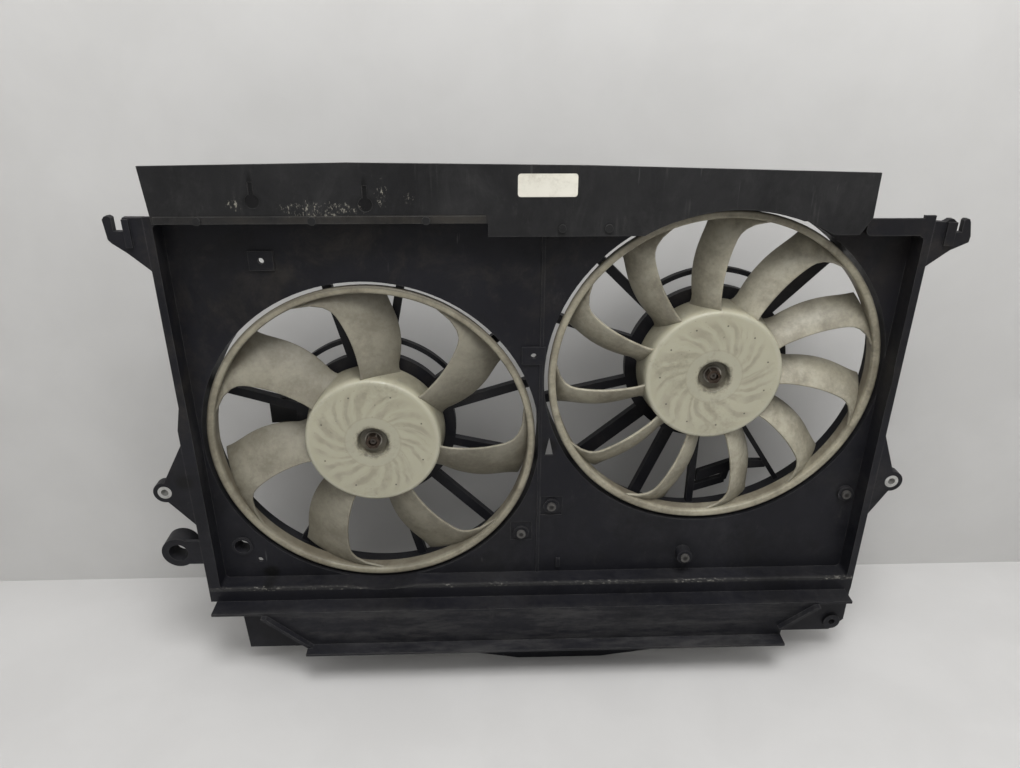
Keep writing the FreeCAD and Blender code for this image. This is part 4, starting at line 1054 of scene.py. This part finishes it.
    def ribs(self) -> bmesh.types.BMesh:
        """The stiffening ribs inside the hub, seen from behind."""
        mesh = bmesh.new()
        inner, outer, start = self.dish + 1.4, self.hub_front - 1.3, self.hub_wall / 2
        for index in range(self.rib_count):
            made = bmesh.ops.create_cube(mesh, size=1.0)["verts"]
            shape = (Matrix.Rotation(math.tau * index / self.rib_count, 4, "Y")
                     @ Matrix.Translation(((inner + outer) / 2, start + self.rib_depth / 2, 0))
                     @ Matrix.Diagonal((outer - inner, self.rib_depth, self.rib_thick, 1.0)))
            bmesh.ops.transform(mesh, matrix=shape, verts=made)
        bmesh.ops.bevel(mesh, geom=list(mesh.edges), offset=0.3, segments=2, profile=0.5, affect="EDGES",
                        material=-1)
        return self.settle(mesh)

    def lit(self, tones: Sequence[Colour]) -> list[Colour]:
        """Two tones of the cream plastic, lighter or darker as this fan's plastic is.

        Args:
            tones: the tones of the darker fan.

        Returns:
            The tones of this fan.
        """
        return [tuple(part * self.brightness for part in tone) for tone in tones]

    def build(self) -> None:
        """Make the fan's pieces and let them turn with its rotor."""
        word = self.side.word
        body = word + "_rotor"
        cream = dict(centre=self.centre, rough=0.45, dirt=(0.085, 0.072, 0.05), dirt_scale=27.0,
                     dirt_amount=0.5, dirt_share=0.55, dust=(0.2, 0.18, 0.135), dust_amount=0.25,
                     scratch=(0.36, 0.34, 0.28), scratch_amount=0.25, grain=1400.0, bump=0.05)
        plain = FanPlastic(word + "_fan_cream", *self.lit(BLADE_CREAM), **cream).make()
        face = HubPlastic(word + "_hub_cream", *HUB_CREAM, pins=self.pins, swirl=self.side.value,
                          pin_turn=self.pin_turn, **{**cream, "dirt_amount": 0.25}).make()
        rolled = RingPlastic(word + "_ring_cream", *self.lit(RING_CREAM), **cream).make()
        pieces = [piece_from(self.hub(), word + "_fan_hub", face),
                  piece_from(self.ring(), word + "_fan_ring", rolled),
                  piece_from(self.ribs(), word + "_fan_hub_ribs", plain)]
        for index in range(self.blades):
            pieces.append(piece_from(self.blade(index), "%s_fan_blade_%02d" % (word, index + 1), plain))
        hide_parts(word + "_fan")
        for piece in pieces:
            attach(piece, body)
        LOG.info("%s fan: %d pieces", word, len(pieces))


@dataclass
class Hardware:
    """The nodes whose solids are shown as they are, each with its own finish."""

    nodes: dict[str, bpy.types.Object]
    finishes: dict[str, Finish]
    made: dict[str, bpy.types.Material] = field(default_factory=dict)

    def finish_for(self, node: str) -> bpy.types.Material:
        """The material of a node, made once for all nodes that share it."""
        key = node.removeprefix("left_").removeprefix("right_")
        finish = self.finishes[key]
        if finish.name not in self.made:
            self.made[finish.name] = finish.make()
        return self.made[finish.name]

    def dress(self) -> None:
        """Give every shown node its material."""
        for name, node in self.nodes.items():
            if name.endswith("_fan"):
                continue
            node.data.materials.clear()
            node.data.materials.append(self.finish_for(name))
        LOG.info("dressed %d nodes with %d finishes", len(self.nodes), len(self.made))


@dataclass
class Studio:
    """Pale floor and wall, soft light and the camera at the photograph's place."""

    floor_height: float
    floor_end: float = 0.151
    floor_half: Spot = (4.0, 3.0)
    wall_half: Spot = (4.0, 2.0)
    camera_place: tuple[float, float, float] = (-0.0476, -0.6532, 0.4103)
    pitch: float = 24.51
    yaw: float = 2.08
    roll: float = 0.22
    lens: float = 27.32

    @staticmethod
    def sheet(shape: Matrix) -> bmesh.types.BMesh:
        """A plain sheet.

        Args:
            shape: what turns a square of 2 m into it.

        Returns:
            The sheet's shape.
        """
        mesh = bmesh.new()
        bmesh.ops.create_grid(mesh, x_segments=1, y_segments=1, size=1.0)
        bmesh.ops.transform(mesh, matrix=shape, verts=mesh.verts)
        return mesh

    def floor(self) -> None:
        """A wide pale floor that ends where the photograph's does."""
        mesh = self.sheet(Matrix.Translation((0, self.floor_end - self.floor_half[1], self.floor_height))
                          @ Matrix.Diagonal((*self.floor_half, 1, 1)))
        finish = Finish("floor_paper", (0.515, 0.509, 0.502), (0.54, 0.534, 0.527), rough=0.7, **PAPER)
        piece_from(mesh, "floor", finish.make(), recalc=False)

    def wall(self) -> None:
        """A pale wall behind the module, standing on the floor's far edge."""
        mesh = self.sheet(Matrix.Translation((0, self.floor_end, self.floor_height + self.wall_half[1]))
                          @ Matrix.Rotation(math.radians(90), 4, "X")
                          @ Matrix.Diagonal((*self.wall_half, 1, 1)))
        finish = WallPaper("wall_paper", (0.52, 0.515, 0.505), (0.55, 0.545, 0.535), rough=0.8, **PAPER)
        piece_from(mesh, "wall", finish.make(), recalc=False)

    def light(self, name: str, place: Sequence[float], aim: Sequence[float], size: float,
              power: float) -> None:
        """Add one square soft white light.

        Args:
            name: its name.
            place: where it hangs, in metres.
            aim: the point it faces.
            size: its edge.
            power: watts.
        """
        data = bpy.data.lights.new(name, "AREA")
        data.shape, data.size, data.energy = "SQUARE", size, power
        lamp = bpy.data.objects.new(name, data)
        lamp.location = place
        lamp.rotation_mode = "QUATERNION"
        lamp.rotation_quaternion = (Vector(aim) - Vector(place)).to_track_quat("-Z", "Y")
        bpy.context.scene.collection.objects.link(lamp)

    def world(self) -> None:
        """An even pale surround, a little brighter than the floor's far edge."""
        world = bpy.data.worlds.new("surround")
        world.use_nodes = True
        world.node_tree.nodes["Background"].inputs[0].default_value = (0.36, 0.357, 0.35, 1.0)
        world.node_tree.nodes["Background"].inputs[1].default_value = 1.0
        bpy.context.scene.world = world

    def camera(self) -> None:
        """The camera, solved from the photograph."""
        data = bpy.data.cameras.new("view")
        data.sensor_width, data.lens = 36.0, self.lens
        data.clip_start, data.clip_end = 0.02, 50.0
        camera = bpy.data.objects.new("view", data)
        pitch, yaw, roll = (math.radians(a) for a in (self.pitch, self.yaw, self.roll))
        ahead = Vector((math.sin(yaw) * math.cos(pitch), math.cos(yaw) * math.cos(pitch), -math.sin(pitch)))
        right = Vector((math.cos(yaw), -math.sin(yaw), 0.0))
        up = right.cross(ahead)
        across = right * math.cos(roll) + up * math.sin(roll)
        above = up * math.cos(roll) - right * math.sin(roll)
        turn = Matrix((across, above, -ahead)).transposed()
        camera.rotation_mode = "QUATERNION"
        camera.rotation_quaternion = turn.to_quaternion()
        camera.location = self.camera_place
        bpy.context.scene.collection.objects.link(camera)
        bpy.context.scene.camera = camera

    def build(self) -> None:
        """Set up everything round the module."""
        self.floor()
        self.wall()
        self.world()
        self.camera()
        self.light("overhead", (0.1, -0.42, 1.6), (0.0, 0.0, 0.0), 1.4, 11.0)
        self.light("wall_wash", (0.1, -0.62, 1.55), (0.1, self.floor_end, 0.7), 0.7, 19.0)
        self.light("front_left", (-0.95, -1.05, 1.35), (0.0, 0.0, 0.05), 1.1, 6.0)
        self.light("front_right", (1.15, -1.05, 1.15), (0.0, 0.0, 0.05), 1.1, 4.8)
        bpy.context.scene.view_settings.view_transform = "Standard"
        LOG.info("studio set, floor at %.3f m", self.floor_height)


FANS = (
    Fan(Side.LEFT, (-0.158, 0.020, 0.0415), blades=7, pins=8, root_span=27.0, tip_span=22.0, sweep=13.7,
        turn=7.7),
    Fan(Side.RIGHT, (0.1734, 0.020, 0.1081), blades=11, pins=11, root_span=16.6, tip_span=10.6, sweep=10.5,
        turn=23.5, brightness=1.52, lead_flare=24.0, trail_flare=4.0),
)


def main() -> None:
    """Build the module's looks and the studio."""
    Studio(floor_height=CAD_BOX[0].z - 0.0005).build()
    Hardware(frame["nodes"], NODE_FINISH).dress()
    for fan in FANS:
        fan.build()


if __name__ == "__main__":
    main()
